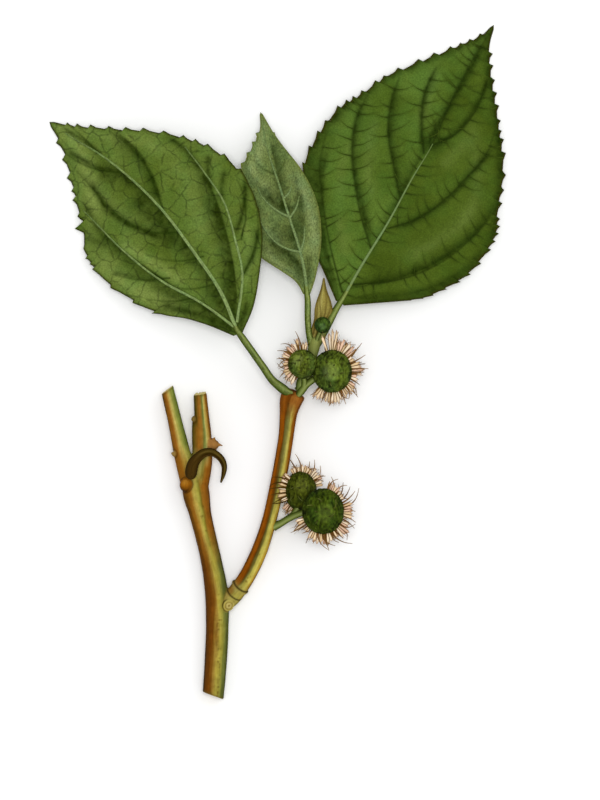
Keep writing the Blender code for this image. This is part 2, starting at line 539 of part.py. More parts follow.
def main():
    clear_scene()
    sprig = bpy.data.objects.new("sprig", None)
    sprig.location = (-MIDDLE[0] * MM, -MIDDLE[1] * MM, 0.0)
    bpy.context.scene.collection.objects.link(sprig)

    woody_branch(sprig)
    shoot = fuse(tube(GREEN_SHOOT, 9, 8), [tube(BRACT, 4, 5)])
    finish("green_shoot", shoot, GREEN_SHOOT[0], (0.12, 0.17, 0.03), 0.6, sprig)

    wide = (0.36, 0.7, 1.0)
    stalked_leaf("left_leaf", LEAVES["left_leaf"], LEFT_PETIOLE, wide, 5, sprig)
    stalked_leaf("middle_leaf", LEAVES["middle_leaf"], MIDDLE_PETIOLE, (0.5, 1.0), 4, sprig)
    stalked_leaf("right_leaf", LEAVES["right_leaf"], RIGHT_PETIOLE, wide, 5, sprig)

    scale = blade(STIPULE, list(np.linspace(0, 0.92, 9)), (0.5, 1.0), rib_drop=0.3)
    finish("stipule", fuse(scale, [tube(STIPULE_BASE, 4, 5)]), STIPULE_BASE[0], (0.3, 0.24, 0.06), 0.7, sprig)

    forked_stalk("upper_peduncle", UPPER_STALK, UPPER_ARMS, 7, sprig)
    forked_stalk("lower_peduncle", LOWER_STALK, LOWER_ARMS, 7, sprig)
    horn = tube(WITHERED_STALK, 14, 8)
    finish("withered_stalk", horn, WITHERED_STALK[0], (0.055, 0.028, 0.006), 0.8, sprig)

    fixed = [sampled(SIDE_SHOOT, 60), sampled(GREEN_SHOOT), sampled(LEFT_PETIOLE), sampled(MIDDLE_PETIOLE),
             sampled(RIGHT_PETIOLE), surface_rows(LEAVES["left_leaf"]), surface_rows(LEAVES["right_leaf"]),
             surface_rows(LEAVES["middle_leaf"]), surface_rows(STIPULE)]
    stalks = [sampled(rows) for rows in (UPPER_STALK, *UPPER_ARMS, LOWER_STALK, *LOWER_ARMS)]
    bud = np.array([(*BUD_CENTRE, BUD_RADIUS + 0.5)])
    for name, (size, centre, seed) in HEADS.items():
        others = [np.array([(*place, max(HEAD_RADII[key]) + 0.6)]) for node, (key, place, _) in HEADS.items()
                  if node != name]
        flower_head(name, centre, HEAD_RADII[size], seed, fixed + stalks + others + [bud], sprig)

    bud_core = floret_core(BUD_CENTRE, np.full(3, BUD_RADIUS), BUD_FLORETS, relief=0.3)
    finish("bud_head", fuse(bud_core, [tube(BUD_STALK, 4, 6)]), BUD_CENTRE, (0.06, 0.09, 0.01), 0.75, sprig)


main()
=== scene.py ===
import math
import random

import bmesh
import bpy
import numpy as np
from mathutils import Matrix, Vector
from mathutils.bvhtree import BVHTree


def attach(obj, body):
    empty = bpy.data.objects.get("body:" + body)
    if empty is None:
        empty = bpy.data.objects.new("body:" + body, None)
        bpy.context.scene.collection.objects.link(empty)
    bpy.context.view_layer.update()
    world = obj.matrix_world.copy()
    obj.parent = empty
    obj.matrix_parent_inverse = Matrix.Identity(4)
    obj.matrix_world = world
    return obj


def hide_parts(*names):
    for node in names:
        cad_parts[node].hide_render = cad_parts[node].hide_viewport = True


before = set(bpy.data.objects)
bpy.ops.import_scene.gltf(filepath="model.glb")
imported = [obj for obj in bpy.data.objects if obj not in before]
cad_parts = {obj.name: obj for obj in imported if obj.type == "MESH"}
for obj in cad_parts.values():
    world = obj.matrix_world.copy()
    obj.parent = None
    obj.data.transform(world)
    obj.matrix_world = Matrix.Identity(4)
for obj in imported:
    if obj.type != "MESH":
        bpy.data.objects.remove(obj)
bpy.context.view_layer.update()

# Looks of the paper mulberry sprig.  All lists below are in millimetres in the drawing's frame, as
# in the part's source, and place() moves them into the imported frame.  Colours are linear RGB.
MM = 0.001
MIDDLE = np.array((0.09, -0.43, 0.0))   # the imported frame's origin in the drawing's frame
PIXEL = 0.4             # millimetres for each pixel of the plate
PLATE_ORIGIN = (277.3, 361.6)           # the drawing's origin in pixels of the plate
BLADE = 0.65            # thickness of the blades in the CAD part
FINE_BLADE = 0.35       # thickness of the blades here, the lower face in the same place
TOOTH_DEPTH = 1.5
TOOTH_DROP = 0.14       # share of a tooth's pitch over which it falls from its peak to the next notch
TOOTH_HOOK = 0.5        # how far a tooth's peak leans to the leaf tip, for each millimetre it stands out
PUCKER = 0.55
SIDE_VEINS = 7

# Flower heads: centre, radii along x, y and z, and seed of the random draws
HEADS = {
    "fruit_head_upper_front": ((21.9, -3.9, 17.2), (8.0, 8.7, 7.6), 11),
    "fruit_head_upper_rear": ((10.1, -0.9, 18.6), (5.9, 5.8, 5.7), 12),
    "fruit_head_lower_front": ((18.3, -59.8, 16.9), (8.5, 9.3, 8.2), 13),
    "fruit_head_lower_rear": ((9.3, -51.8, 6.2), (6.6, 7.9, 6.8), 14)}
BUD_CENTRE = (18.1, 14.6, 16.2)
BUD_RADIUS = 3.3
BUD_TINT = (0.76, 0.98, 1.15)
BUD_STALK = [(15.6, 8.2, 13.9, 0.8), (16.3, 10.2, 14.3, 0.8), (17.3, 12.6, 15.2, 0.8)]

# Centre lines of stems and stalks: x, y, z, radius
MAIN_STEM = [(-25.7, -133.8, 4.1, 4.3), (-24.6, -119, 4.25, 4.45), (-24.0, -103.4, 4.6, 4.6),
             (-24.1, -95.4, 4.8, 4.7), (-26.6, -79, 5.0, 4.15), (-30.8, -61, 5.6, 4.4),
             (-32.8, -50.5, 6.2, 5.3), (-33.3, -43.5, 6.4, 3.6)]
LEFT_STUB = [(-34.6, -50.5, 6.0, 3.6), (-37.4, -39.5, 6.2, 3.5), (-40.6, -25.4, 6.6, 2.9),
             (-44.0, -11.2, 7.2, 2.65)]
RIGHT_STUB = [(-31.6, -50, 6.4, 4.1), (-29.7, -39.4, 7.0, 3.7), (-29.6, -29.8, 7.6, 3.25),
              (-30.4, -20, 8.2, 2.9), (-30.9, -12.9, 8.6, 2.65)]
SIDE_SHOOT = [(-23.2, -98.4, 5.2, 3.2), (-18.1, -94.2, 5.5, 3.5), (-14.6, -89.8, 5.6, 3.3),
              (-6.9, -75, 5.8, 3.2), (-3.2, -63.4, 5.9, 2.9), (-0.4, -51.4, 6.1, 3.0),
              (1.9, -40, 6.7, 3.05), (3.8, -27.4, 8.0, 3.15), (4.5, -20.5, 8.9, 3.6),
              (5.6, -15.2, 9.6, 4.6), (6.4, -13.2, 9.9, 4.7), (6.8, -12.2, 10.1, 4.2),
              (7.0, -11.8, 10.2, 2.6)]
SHOULDER = [(-32.1, -22.9, 7.8, 1.9), (-31.9, -26.0, 7.6, 2.3), (-31.3, -36.0, 7.0, 2.7),
            (-31.0, -45.0, 6.6, 3.0)]
STEM_CUT = (-0.34, -0.92, 0.02)
LEFT_CUT = (-0.6, 0.8, 0.08)
RIGHT_CUT = (-0.16, 0.98, 0.1)
COLLARS = [((-18.3, -93.6, 5.5), 4.0), ((-14.9, -90.2, 5.6), 3.9)]
COLLAR_AXIS = (0.58, 0.72, 0.42)
SCAR_CENTRE = (-19.9, -97.3, 7.2)
SCAR_AXIS = (0.35, -0.25, 0.9)
SCAR_SCALE = 0.88       # of the radii in this profile and in the colours of the scar's rings
SCAR_PROFILE = [(-1.6, 2.8), (1.2, 2.7), (1.5, 2.4), (1.2, 1.9), (1.7, 1.3), (1.6, 0.6)]
KNOB_CENTRE = (-36.2, -49.4, 9.2)
KNOB_RADII = (2.9, 2.9, 2.8)
POINTED_KNOBS = [[(-40.0, -37.2, 7.4, 1.6), (-41.4, -36.9, 8.0, 1.1), (-42.4, -36.6, 8.4, 0.4)],
                 [(-32.4, -23.8, 8.4, 1.5), (-33.2, -23.0, 8.8, 1.35), (-34.0, -23.8, 8.8, 0.8)]]
TORN_SCALE = [(-28.0, -33.0, 8.4, 2.6), (-25.8, -33.2, 9.0, 2.3), (-24.3, -33.5, 9.3, 1.7),
              (-23.5, -33.8, 9.3, 0.9)]
TORN_SPURS = [[(-24.4, -33.0, 9.4, 0.9), (-23.0, -33.3, 9.5, 0.55), (-21.3, -33.9, 9.4, 0.15)],
              [(-26.2, -32.2, 9.4, 1.0), (-25.4, -31.0, 9.6, 0.7), (-24.9, -30.2, 9.6, 0.2)],
              [(-25.4, -34.6, 9.0, 0.9), (-24.8, -35.8, 9.0, 0.6), (-24.4, -36.6, 9.0, 0.2)]]
GREEN_SHOOT = [(8.4, -12.0, 9.8, 2.1), (10.6, -9.6, 10.2, 2.0), (12.6, -4.0, 10.6, 1.9),
               (14.0, 2.6, 11.2, 2.1), (14.8, 6.6, 12.2, 2.4), (15.2, 8.6, 12.6, 2.1), (15.3, 9.6, 12.6, 1.2)]
BRACT = [(8.6, -11.2, 12.2, 1.3), (9.4, -8.6, 13.2, 1.9), (10.0, -6.0, 13.6, 1.4), (10.2, -4.6, 13.6, 0.4)]
LEFT_PETIOLE = [(6.2, -12.5, 13.2, 0.7), (4.4, -12.3, 13.2, 1.6), (2.6, -11.2, 12.5, 1.95),
                (0.8, -9.8, 11.9, 1.85), (-1.4, -8.0, 11.4, 1.65),
                (-5.7, -2.1, 12.3, 1.5), (-10.3, 4.4, 14.0, 1.45), (-14.0, 9.6, 15.3, 1.4)]
MIDDLE_PETIOLE = [(14.2, 5.0, 12.2, 1.5), (13.2, 8.4, 12.6, 1.35), (12.5, 12.6, 12.4, 1.3),
                  (12.2, 17.5, 12.2, 1.3), (12.1, 25.0, 12.3, 1.25)]
RIGHT_PETIOLE = [(15.8, 6.4, 11.6, 1.5), (17.4, 9.6, 11.4, 1.65), (20.0, 14.4, 11.4, 1.6),
                 (24.0, 21.8, 11.2, 1.3)]
# Forked stalks of the heads: the stem of each fork, then its two arms
PEDUNCLES = {
    "upper_peduncle": [[(8.3, -13.7, 12.2, 1.2), (9.8, -11.5, 13.5, 1.6), (11.5, -9.3, 14.2, 1.5)],
                       [(10.6, -10.2, 14.0, 1.3), (10.8, -8.2, 15.2, 1.2), (10.6, -6.4, 16.4, 1.1)],
                       [(10.4, -10.3, 14.0, 1.4), (13.4, -7.9, 14.4, 1.4), (15.9, -6.2, 15.0, 1.3)]],
    "lower_peduncle": [[(-1.4, -66.0, 5.8, 1.9), (1.2, -64.8, 6.8, 1.5), (4.4, -62.8, 8.2, 1.4)],
                       [(3.6, -63.3, 7.7, 1.3), (6.2, -61.2, 8.2, 1.2), (8.0, -58.6, 8.0, 1.2)],
                       [(3.6, -63.3, 7.9, 1.4), (7.0, -61.6, 9.8, 1.35), (10.9, -60.2, 12.4, 1.3)]]}
WITHERED_STALK = [(-34.9, -46.9, 13.6, 0.6), (-34.8, -46.4, 13.8, 1.6), (-34.6, -45.4, 14.0, 2.2),
                  (-34.2, -42.8, 14.2, 2.45), (-33.4, -40.4, 14.1, 2.3), (-31.8, -38.4, 13.8, 2.0),
                  (-29.6, -36.7, 13.4, 1.8), (-26.7, -36.2, 12.2, 1.6), (-24.0, -37.4, 10.9, 1.45),
                  (-22.0, -39.6, 9.8, 1.35), (-21.2, -42.2, 9.0, 1.15), (-21.5, -44.9, 8.4, 0.9),
                  (-22.6, -48.4, 7.8, 0.35)]
# Leaves.  midrib: x, y, z of the upper face.  half widths and edge heights: share of the midrib's
# length, then millimetres.  teeth: shares of the length where each tooth of that edge peaks.
# tall: how far the tooth at that share stands out, 1 for a usual one.
LEAVES = {
    "left_leaf": {
        "midrib": [(-15.6, 11.0, 15.8), (-22.2, 27.1, 17.4), (-33.6, 44.2, 17.6), (-46.7, 61.4, 15.6),
                   (-58.1, 72.8, 12.4), (-70.4, 82.6, 8.4), (-82.6, 90.0, 3.6), (-91.4, 96.1, 0.65)],
        "right": [(0, 2.0), (0.05, 7.8), (0.13, 15.2), (0.24, 26.8), (0.33, 32.0), (0.44, 34.0),
                  (0.52, 32.0), (0.6, 27.4), (0.7, 19.8), (0.8, 11.4), (0.9, 5.8), (1, 0.5)],
        "left": [(0, 2.0), (0.05, 8.2), (0.1, 14.8), (0.2, 25.2), (0.3, 31.2), (0.4, 35.4), (0.5, 36.0),
                 (0.58, 34.4), (0.66, 28.4), (0.76, 21.0), (0.83, 15.4), (0.9, 7.4), (1, 0.5)],
        "right_edge": [(0, 15.8), (0.1, 15.6), (0.2, 14.8), (0.3, 15.2), (0.4, 15.6), (0.5, 14.6),
                       (0.6, 12.0), (0.7, 9.0), (0.8, 6.3), (0.9, 3.2), (1, 0.65)],
        "left_edge": [(0, 15.8), (0.1, 12.6), (0.2, 9.4), (0.3, 7.0), (0.45, 4.6), (0.6, 2.9),
                      (0.75, 1.6), (0.9, 1.0), (1, 0.65)],
        "right_teeth": [0.3, 0.44, 0.497, 0.548, 0.582, 0.615, 0.668, 0.721, 0.766, 0.809, 0.866, 0.913,
                        0.945],
        "left_teeth": [0.22, 0.296, 0.381, 0.5, 0.528, 0.56, 0.6, 0.674, 0.71, 0.768, 0.8, 0.843, 0.888,
                       0.936],
        "tall": {0.768: 1.3, 0.8: 1.0, 0.843: 1.35, 0.888: 1.35, 0.936: 1.3, 0.22: 1.9, 0.3: 0.4,
                 0.296: 1.2, 0.381: 1.0, 0.528: 0.8, 0.6: 0.4, 0.674: 3.4, 0.71: 0.8}},
    "middle_leaf": {
        "midrib": [(11.8, 27.0, 12.6), (11.5, 31.2, 13.0), (9.2, 43.8, 13.4), (4.8, 57.7, 13.2),
                   (0.3, 72.0, 12.2), (-4.2, 85.8, 10.6), (-6.7, 99.8, 8.8)],
        "right": [(0, 1.4), (0.07, 3.7), (0.16, 6.5), (0.28, 10.0), (0.4, 12.2), (0.53, 12.1),
                  (0.64, 10.4), (0.74, 7.9), (0.87, 4.3), (1, 0.4)],
        "left": [(0, 1.4), (0.073, 4.1), (0.15, 9.4), (0.24, 15.2), (0.32, 17.2), (0.44, 17.0),
                 (0.63, 15.1), (0.74, 12.7), (0.83, 5.9), (0.9, 2.2), (1, 0.4)],
        "right_edge": [(0, 12.6), (0.2, 11.9), (0.4, 11.6), (0.6, 10.9), (0.8, 9.9), (1, 8.8)],
        "left_edge": [(0, 12.6), (0.2, 11.2), (0.35, 10.6), (0.6, 10.2), (0.8, 9.8), (1, 8.8)],
        "right_teeth": [0.88],
        "left_teeth": [0.6, 0.665, 0.71, 0.765, 0.805, 0.85, 0.89],
        "tall": {0.88: 0.4, 0.6: 0.6}},
    "right_leaf": {
        "midrib": [(25.1, 23.4, 11.6), (33.3, 37.7, 12.2), (44.8, 56.5, 12.4), (54.6, 74.4, 11.4),
                   (61.5, 85.8, 10.0), (69.2, 102.2, 7.0), (79.0, 121.8, 2.7), (86.8, 135.0, 0.65)],
        "right": [(0, 2.0), (0.06, 13.4), (0.1, 20.8), (0.15, 28.2), (0.2, 32.4), (0.28, 38.2),
                  (0.36, 40.5), (0.43, 40.3), (0.52, 35.6), (0.64, 27.2), (0.78, 16.2), (0.88, 7.6),
                  (0.95, 2.6), (1, 0.5)],
        "left": [(0, 2.0), (0.07, 13.8), (0.13, 24.7), (0.21, 34.0), (0.3, 40.2), (0.38, 41.8),
                 (0.48, 40.8), (0.6, 36.4), (0.7, 29.0), (0.8, 18.2), (0.88, 9.0), (0.95, 2.6), (1, 0.5)],
        "right_edge": [(0, 11.6), (0.1, 9.6), (0.2, 7.4), (0.3, 5.6), (0.42, 4.2), (0.55, 3.4),
                       (0.7, 2.4), (0.85, 1.3), (1, 0.65)],
        "left_edge": [(0, 11.6), (0.1, 9.8), (0.2, 7.8), (0.32, 6.6), (0.45, 6.4), (0.6, 5.6),
                      (0.75, 3.7), (0.88, 1.6), (1, 0.65)],
        "right_teeth": [0.117, 0.144, 0.171, 0.21, 0.25, 0.282, 0.319, 0.366, 0.396, 0.426, 0.455, 0.484,
                        0.528, 0.557, 0.588, 0.64, 0.679, 0.705, 0.733, 0.774, 0.809, 0.844, 0.884, 0.917],
        "left_teeth": [0.14, 0.19, 0.235, 0.28, 0.324, 0.385, 0.433, 0.464, 0.516, 0.564, 0.6, 0.635, 0.68,
                       0.702, 0.742, 0.794, 0.832, 0.872, 0.897, 0.921, 0.952]},
}
STIPULE = {
    "midrib": [(15.0, 9.0, 12.9), (16.4, 13.4, 12.9), (17.6, 18.5, 13.3), (18.2, 25.0, 14.4),
               (18.6, 33.5, 13.0)],
    "right": [(0, 1.0), (0.1, 1.9), (0.3, 3.0), (0.45, 4.3), (0.6, 3.6), (0.8, 1.5), (1, 0.3)],
    "left": [(0, 1.4), (0.1, 2.4), (0.3, 2.6), (0.5, 3.0), (0.65, 2.3), (0.8, 1.2), (1, 0.3)],
    "right_edge": [(0, 12.8), (0.4, 12.6), (1, 13.0)],
    "left_edge": [(0, 12.8), (0.4, 13.2), (1, 13.0)],
    "right_teeth": [], "left_teeth": []}

# Colours and veins of each leaf.  Ribs stand proud and pale; furrows are sunk, and the dark line along
# each is painted shade in its groove; both are x, y paths in the drawing's frame.  Shades and the light
# strokes are soft strokes of painted shade and painted light along paths in pixels of the plate: path,
# reach to its left, reach to its right, strength.  band: darkness and width of the edge.  tints: of the
# left and the right half.  rib_radius: of the midrib's two ends.
LEAF_LOOKS = {
    "left_leaf": {
        "light": (0.118, 0.176, 0.03), "mid": (0.082, 0.124, 0.014), "dark": (0.017, 0.03, 0.001),
        "line": (0.016, 0.032, 0.001), "margin": (0.026, 0.026, 0.001), "rib": (0.25, 0.34, 0.115),
        "painted_light": (0.19, 0.255, 0.055),
        "painted_light_strokes": [([(52, 122), (70, 136), (86, 168), (92, 196), (96, 222)], 7, 7, 0.85),
                  ([(96, 256), (122, 280), (150, 296), (182, 308)], 7, 8, 0.8),
                  ([(118, 240), (140, 256), (160, 268), (186, 284)], 5, 5, 0.75),
                  ([(76, 124), (110, 136), (140, 140), (164, 152)], 6, 6, 0.45),
                  ([(170, 160), (186, 184), (196, 212), (206, 240)], 9, 7, 0.3),
                  ([(238, 206), (247, 232), (250, 256), (244, 290)], 4, 5, 0.35),
                  ([(88, 176), (104, 196), (118, 212), (136, 224)], 5, 4, 0.35)],
        "under": (0.15, 0.2, 0.08), "rib_radius": (0.88, 0.36), "rib_end": 0.93,
        "band": (0.35, 0.8), "tints": ((1, 1, 1), (1, 1, 1)),
        "ribs": [[(-17.3, 14.0), (-29.5, 23.0), (-45.8, 32.0), (-62.2, 45.0), (-72.0, 54.8), (-77.7, 60.6)],
                 [(-16.1, 15.7), (-14.0, 35.2), (-16.9, 49.1), (-21.4, 63.8), (-29.5, 76.1), (-36.9, 85.8)]],
        "furrows": [[(-45.2, 59.9), (-48.2, 67.4), (-53.2, 79.2), (-60.2, 87.0), (-67.1, 92.4)],
                    [(-39.3, 51.6), (-50.0, 51.6), (-62.2, 57.3), (-72.0, 67.1), (-80.2, 76.1)],
                    [(-61.0, 75.5), (-70.4, 76.5), (-80.2, 80.2), (-86.5, 84.8)],
                    [(-14.4, 49.0), (-12.6, 58.0), (-13.4, 66.0), (-16.2, 73.0)],
                    [(-13.4, 35.0), (-9.4, 44.0), (-7.6, 52.0), (-8.2, 60.0)],
                    [(-29.5, 42.0), (-36.0, 40.4), (-45.0, 40.6), (-52.0, 42.6)],
                    [(-24.0, 31.0), (-34.0, 29.0), (-42.0, 29.6)],
                    [(-43.0, 33.4), (-54.0, 32.6), (-66.0, 34.8)],
                    [(-33.0, 25.4), (-42.0, 24.0), (-52.0, 25.0)],
                    [(-72.5, 84.2), (-78.0, 90.0), (-82.0, 93.6)]],
        "shades": [
            ([(235, 316), (222, 296), (205, 268), (187, 243), (165, 214), (145, 192), (120, 171), (100, 154)],
             6.5, 0.8, 0.88),
            ([(175, 236), (160, 222), (146, 206), (132, 194)], 11, 5, 0.75),
            ([(200, 262), (190, 252), (178, 243), (160, 242)], 7, 4, 0.6),
            ([(181, 237), (160, 237), (140, 230), (120, 220), (105, 206), (95, 191), (84, 177)], 2.6, 4.4,
             0.88),
            ([(120, 171), (105, 169), (92, 165), (78, 157), (66, 150)], 3, 2.5, 0.75),
            ([(118, 178), (108, 176), (98, 172)], 6, 3, 0.5),
            ([(161, 206), (158, 192), (154, 180), (147, 166), (139, 153), (128, 142), (113, 130)], 7, 1.4,
             0.85),
            ([(236, 312), (236, 290), (233, 265), (228, 240), (220, 212), (211, 188), (203, 172), (196, 160)],
             7.5, 0.8, 0.88),
            ([(222, 232), (216, 212), (210, 194)], 9, 6, 0.68),
            ([(236, 326), (232, 306), (228, 288), (226, 268)], 5, 6, 0.75),
            ([(232, 330), (216, 316), (200, 304)], 5, 2, 0.7),
            ([(235, 236), (240, 222), (245, 200), (245, 180)], 2.6, 2.4, 0.85),
            ([(243, 275), (252, 258), (257, 240), (259, 226)], 3.5, 2.5, 0.7),
            ([(222, 202), (222, 186), (225, 170)], 2.6, 2.6, 0.72),
            ([(212, 190), (208, 172), (209, 154)], 3, 2.6, 0.8),
            ([(203, 172), (193, 158), (183, 147), (168, 137)], 3.2, 2, 0.75),
            ([(233, 323), (210, 308), (190, 296), (170, 284), (150, 270), (130, 256), (115, 243), (103, 231)],
             6.5, 0.8, 0.85),
            ([(112, 243), (99, 230), (90, 214), (83, 203)], 2.5, 3, 0.6),
            ([(160, 282), (135, 277), (110, 272)], 2, 3.2, 0.6),
            ([(185, 300), (165, 292), (150, 284)], 5, 5, 0.45),
            ([(238, 336), (215, 323), (195, 314), (175, 308), (158, 304)], 4.5, 4.5, 0.72),
            ([(240, 334), (243, 318), (248, 300)], 2.5, 3, 0.7),
            ([(104, 156), (86, 142), (60, 126)], 2.4, 2, 0.75),
            ([(108, 247), (96, 241), (86, 237)], 3.5, 2.5, 0.5),
            ([(238, 164), (250, 182), (257, 198), (261, 214), (263, 236), (262, 262)], 1.6, 1.2, 0.85),
            ([(214, 232), (224, 246), (228, 262), (230, 280)], 4, 5, 0.4),
            ([(238, 330), (228, 312), (218, 298), (206, 286)], 8, 5, 0.6)]},
    "middle_leaf": {
        "light": (0.165, 0.215, 0.062), "mid": (0.1, 0.138, 0.032), "dark": (0.02, 0.032, 0.004),
        "line": (0.035, 0.052, 0.008), "margin": (0.13, 0.15, 0.03), "rib": (0.17, 0.235, 0.085),
        "painted_light": (0.235, 0.295, 0.11),
        "painted_light_strokes": [([(262, 122), (262, 140), (256, 160), (250, 178)], 5, 6, 0.6),
                  ([(252, 176), (262, 184), (270, 196)], 5, 5, 0.4),
                  ([(292, 172), (306, 200), (313, 226), (314, 256)], 5, 5, 0.6),
                  ([(266, 246), (276, 262), (290, 272), (300, 282)], 3, 4, 0.45),
                  ([(264, 226), (272, 236), (284, 246)], 4, 3, 0.4)],
        "under": (0.15, 0.2, 0.08), "rib_radius": (0.78, 0.3), "rib_end": 0.96,
        "band": (0.0, 1.0), "tints": ((1, 1, 1), (1, 1, 1)),
        "ribs": [[(9.2, 43.8), (5.5, 44.6), (0.7, 46.8), (-4.4, 52.0), (-7.6, 58.0)],
                 [(5.4, 57.6), (1.5, 59.4), (-3.0, 62.6), (-6.4, 66.4), (-8.2, 71.0)],
                 [(9.3, 43.8), (10.6, 48.4), (10.9, 54.4)], [(5.2, 57.8), (7.4, 61.2), (8.8, 66.2)],
                 [(2.7, 65.4), (4.8, 67.6), (5.8, 71.0)]],
        "furrows": [[(-0.5, 74.8), (-5.0, 76.6), (-9.6, 80.6)], [(0.6, 76.0), (2.6, 79.0), (3.2, 83.0)]],
        "shades": [
            ([(305, 282), (299, 264), (289, 254), (276, 246), (268, 238)], 6, 2.2, 0.82),
            ([(300, 254), (296, 240), (291, 222)], 9, 2.0, 0.85),
            ([(284, 246), (278, 236), (272, 226)], 5, 5, 0.45),
            ([(296, 234), (300, 214), (298, 192)], 4, 4, 0.45),
            ([(290, 214), (284, 202), (280, 190)], 6, 4, 0.6),
            ([(290, 217), (278, 207), (268, 198), (260, 188)], 3.5, 7, 0.75),
            ([(287, 214), (282, 196), (278, 180), (272, 165)], 3.5, 1, 0.6),
            ([(284, 196), (279, 178), (275, 162), (270, 142)], 0.8, 5, 0.72),
            ([(300, 250), (302, 230), (302, 212), (299, 194), (294, 172)], 3, 2.4, 0.5),
            ([(296, 236), (292, 220), (288, 206)], 0.8, 5, 0.6),
            ([(306, 286), (308, 272), (308, 254)], 3, 4, 0.6),
            ([(258, 256), (260, 236), (258, 214), (251, 194), (240, 174)], 3, 2.2, 0.4)]},
    "right_leaf": {
        "light": (0.092, 0.143, 0.017), "mid": (0.066, 0.104, 0.009), "dark": (0.013, 0.026, 0.001),
        "line": (0.012, 0.022, 0.001), "margin": (0.036, 0.028, 0.002), "rib": (0.17, 0.24, 0.085),
        "painted_light": (0.13, 0.185, 0.035),
        "painted_light_strokes": [([(436, 66), (428, 96), (420, 124)], 5, 4, 0.4),
                  ([(346, 258), (342, 240), (338, 215)], 4, 6, 0.4),
                  ([(470, 118), (476, 160), (474, 200), (462, 230)], 6, 5, 0.25),
                  ([(340, 196), (342, 168), (350, 140)], 4, 4, 0.3),
                  ([(372, 200), (368, 170), (370, 140), (376, 116)], 4, 5, 0.4),
                  ([(404, 260), (430, 246), (458, 226), (476, 204)], 6, 5, 0.35),
                  ([(440, 168), (456, 152), (470, 136)], 5, 6, 0.3)],
        "under": (0.13, 0.18, 0.07), "rib_radius": (0.7, 0.26), "rib_end": 0.575,
        "band": (0.74, 2.4), "tints": ((0.97, 1.06, 1.15), (0.74, 0.77, 0.6)),
        "ribs": [],
        "furrows": [[(25.9, 27.8), (21.1, 46.6), (17.8, 67.1), (17.0, 79.3), (19.4, 91.1)],
                    [(37.4, 45.4), (33.3, 58.9), (30.9, 72.8), (30.0, 85.8), (32.1, 98.1), (36.6, 107.9)],
                    [(49.2, 65.0), (46.4, 79.3), (44.4, 91.6), (45.6, 103.8), (48.8, 113.6)],
                    [(58.6, 83.4), (57.8, 94.0), (59.0, 107.1), (63.5, 117.7)],
                    [(29.2, 30.8), (44.8, 32.0), (58.6, 36.1), (70.9, 43.4), (80.7, 52.4), (87.4, 60.8)],
                    [(44.3, 53.2), (54.6, 56.5), (66.8, 64.6), (75.0, 72.8), (83.9, 83.4), (87.0, 92.0)],
                    [(61.5, 86.2), (70.9, 90.8), (79.0, 99.8), (83.9, 112.0)],
                    [(61.0, 85.0), (64.6, 93.0), (70.6, 106.0), (78.0, 120.4), (84.0, 130.5)]],
        "shades": [
            ([(376, 248), (398, 202), (412, 174), (424, 152)], 4.5, 0.8, 0.7),
            ([(422, 156), (431, 138), (441, 120), (452, 101), (465, 78), (476, 58), (485, 40)], 4, 3.4, 0.92),
            ([(338, 297), (330, 268), (325, 242), (322, 215), (322, 190), (324, 165), (331, 143)], 8, 2.2,
             0.72),
            ([(372, 247), (366, 225), (360, 200), (355, 180), (353, 160), (353, 140), (356, 120), (364, 98)],
             2, 4.4, 0.82),
            ([(400, 198), (396, 176), (392, 155), (389, 135), (390, 115), (393, 95), (397, 82)], 2, 5.2,
             0.82),
            ([(424, 152), (421, 135), (421, 118), (423, 100), (428, 84), (436, 68)], 2, 3.6, 0.78),
            ([(346, 289), (368, 284), (390, 280), (412, 273), (435, 263), (455, 250), (473, 236), (487, 219),
              (495, 203)], 4.6, 1.6, 0.86),
            ([(388, 229), (405, 225), (421, 217), (440, 205), (455, 192), (470, 175), (485, 158), (496, 146)],
             3.6, 2.8, 0.82),
            ([(429, 148), (440, 142), (455, 133), (466, 121), (476, 107), (484, 92), (489, 74)], 3, 2.6, 0.8),
            ([(348, 298), (375, 297), (402, 295), (424, 290), (445, 281), (464, 269), (481, 252)], 2.6, 5,
             0.62),
            ([(492, 60), (497, 100), (500, 140), (501, 180), (499, 215), (490, 250)], 7, 4, 0.7),
            ([(444, 136), (438, 146), (430, 150)], 4, 4, 0.5),
            ([(318, 188), (306, 176), (302, 168)], 6, 6, 0.5),
            ([(304, 170), (318, 134), (340, 106), (368, 84)], 4, 9, 0.5),
            ([(368, 84), (396, 68), (430, 54), (470, 40)], 3, 6, 0.4),
            ([(322, 292), (317, 264), (312, 236), (308, 206)], 5, 3, 0.55)]},
}


def smooth(table, where):
    """Cubic curve through rows of (position, value, ...), read at each position of where."""
    data = np.array(table, float)
    xs = data[:, 0]
    ys = data[:, 1:]
    slopes = np.gradient(ys, xs, axis=0)
    where = np.atleast_1d(np.asarray(where, float))
    i = np.clip(np.searchsorted(xs, where, side="right") - 1, 0, len(xs) - 2)
    step = (xs[i + 1] - xs[i])[:, None]
    u = (where[:, None] - xs[i][:, None]) / step
    start = (1 + 2 * u) * (1 - u) ** 2 * ys[i] + u * (1 - u) ** 2 * step * slopes[i]
    end = u * u * (3 - 2 * u) * ys[i + 1] + u * u * (u - 1) * step * slopes[i + 1]
    return start + end


def along(points, where):
    """Points of a smooth path through the given ones, at shares of its length."""
    data = np.array(points, float)
    steps = np.linalg.norm(np.diff(data[:, :3], axis=0), axis=1)
    share = np.concatenate([[0.0], np.cumsum(steps)]) / steps.sum()
    return smooth(np.column_stack([share, data]), where)


def unit(vectors):
    return vectors / np.linalg.norm(vectors, axis=-1, keepdims=True)


def blend(low, high, amount):
    """Mix of two colours, or rows of colours, by an amount from 0 to 1 for each row."""
    amount = np.clip(np.asarray(amount, float), 0, 1)[..., None]
    return np.asarray(low) * (1 - amount) + np.asarray(high) * amount


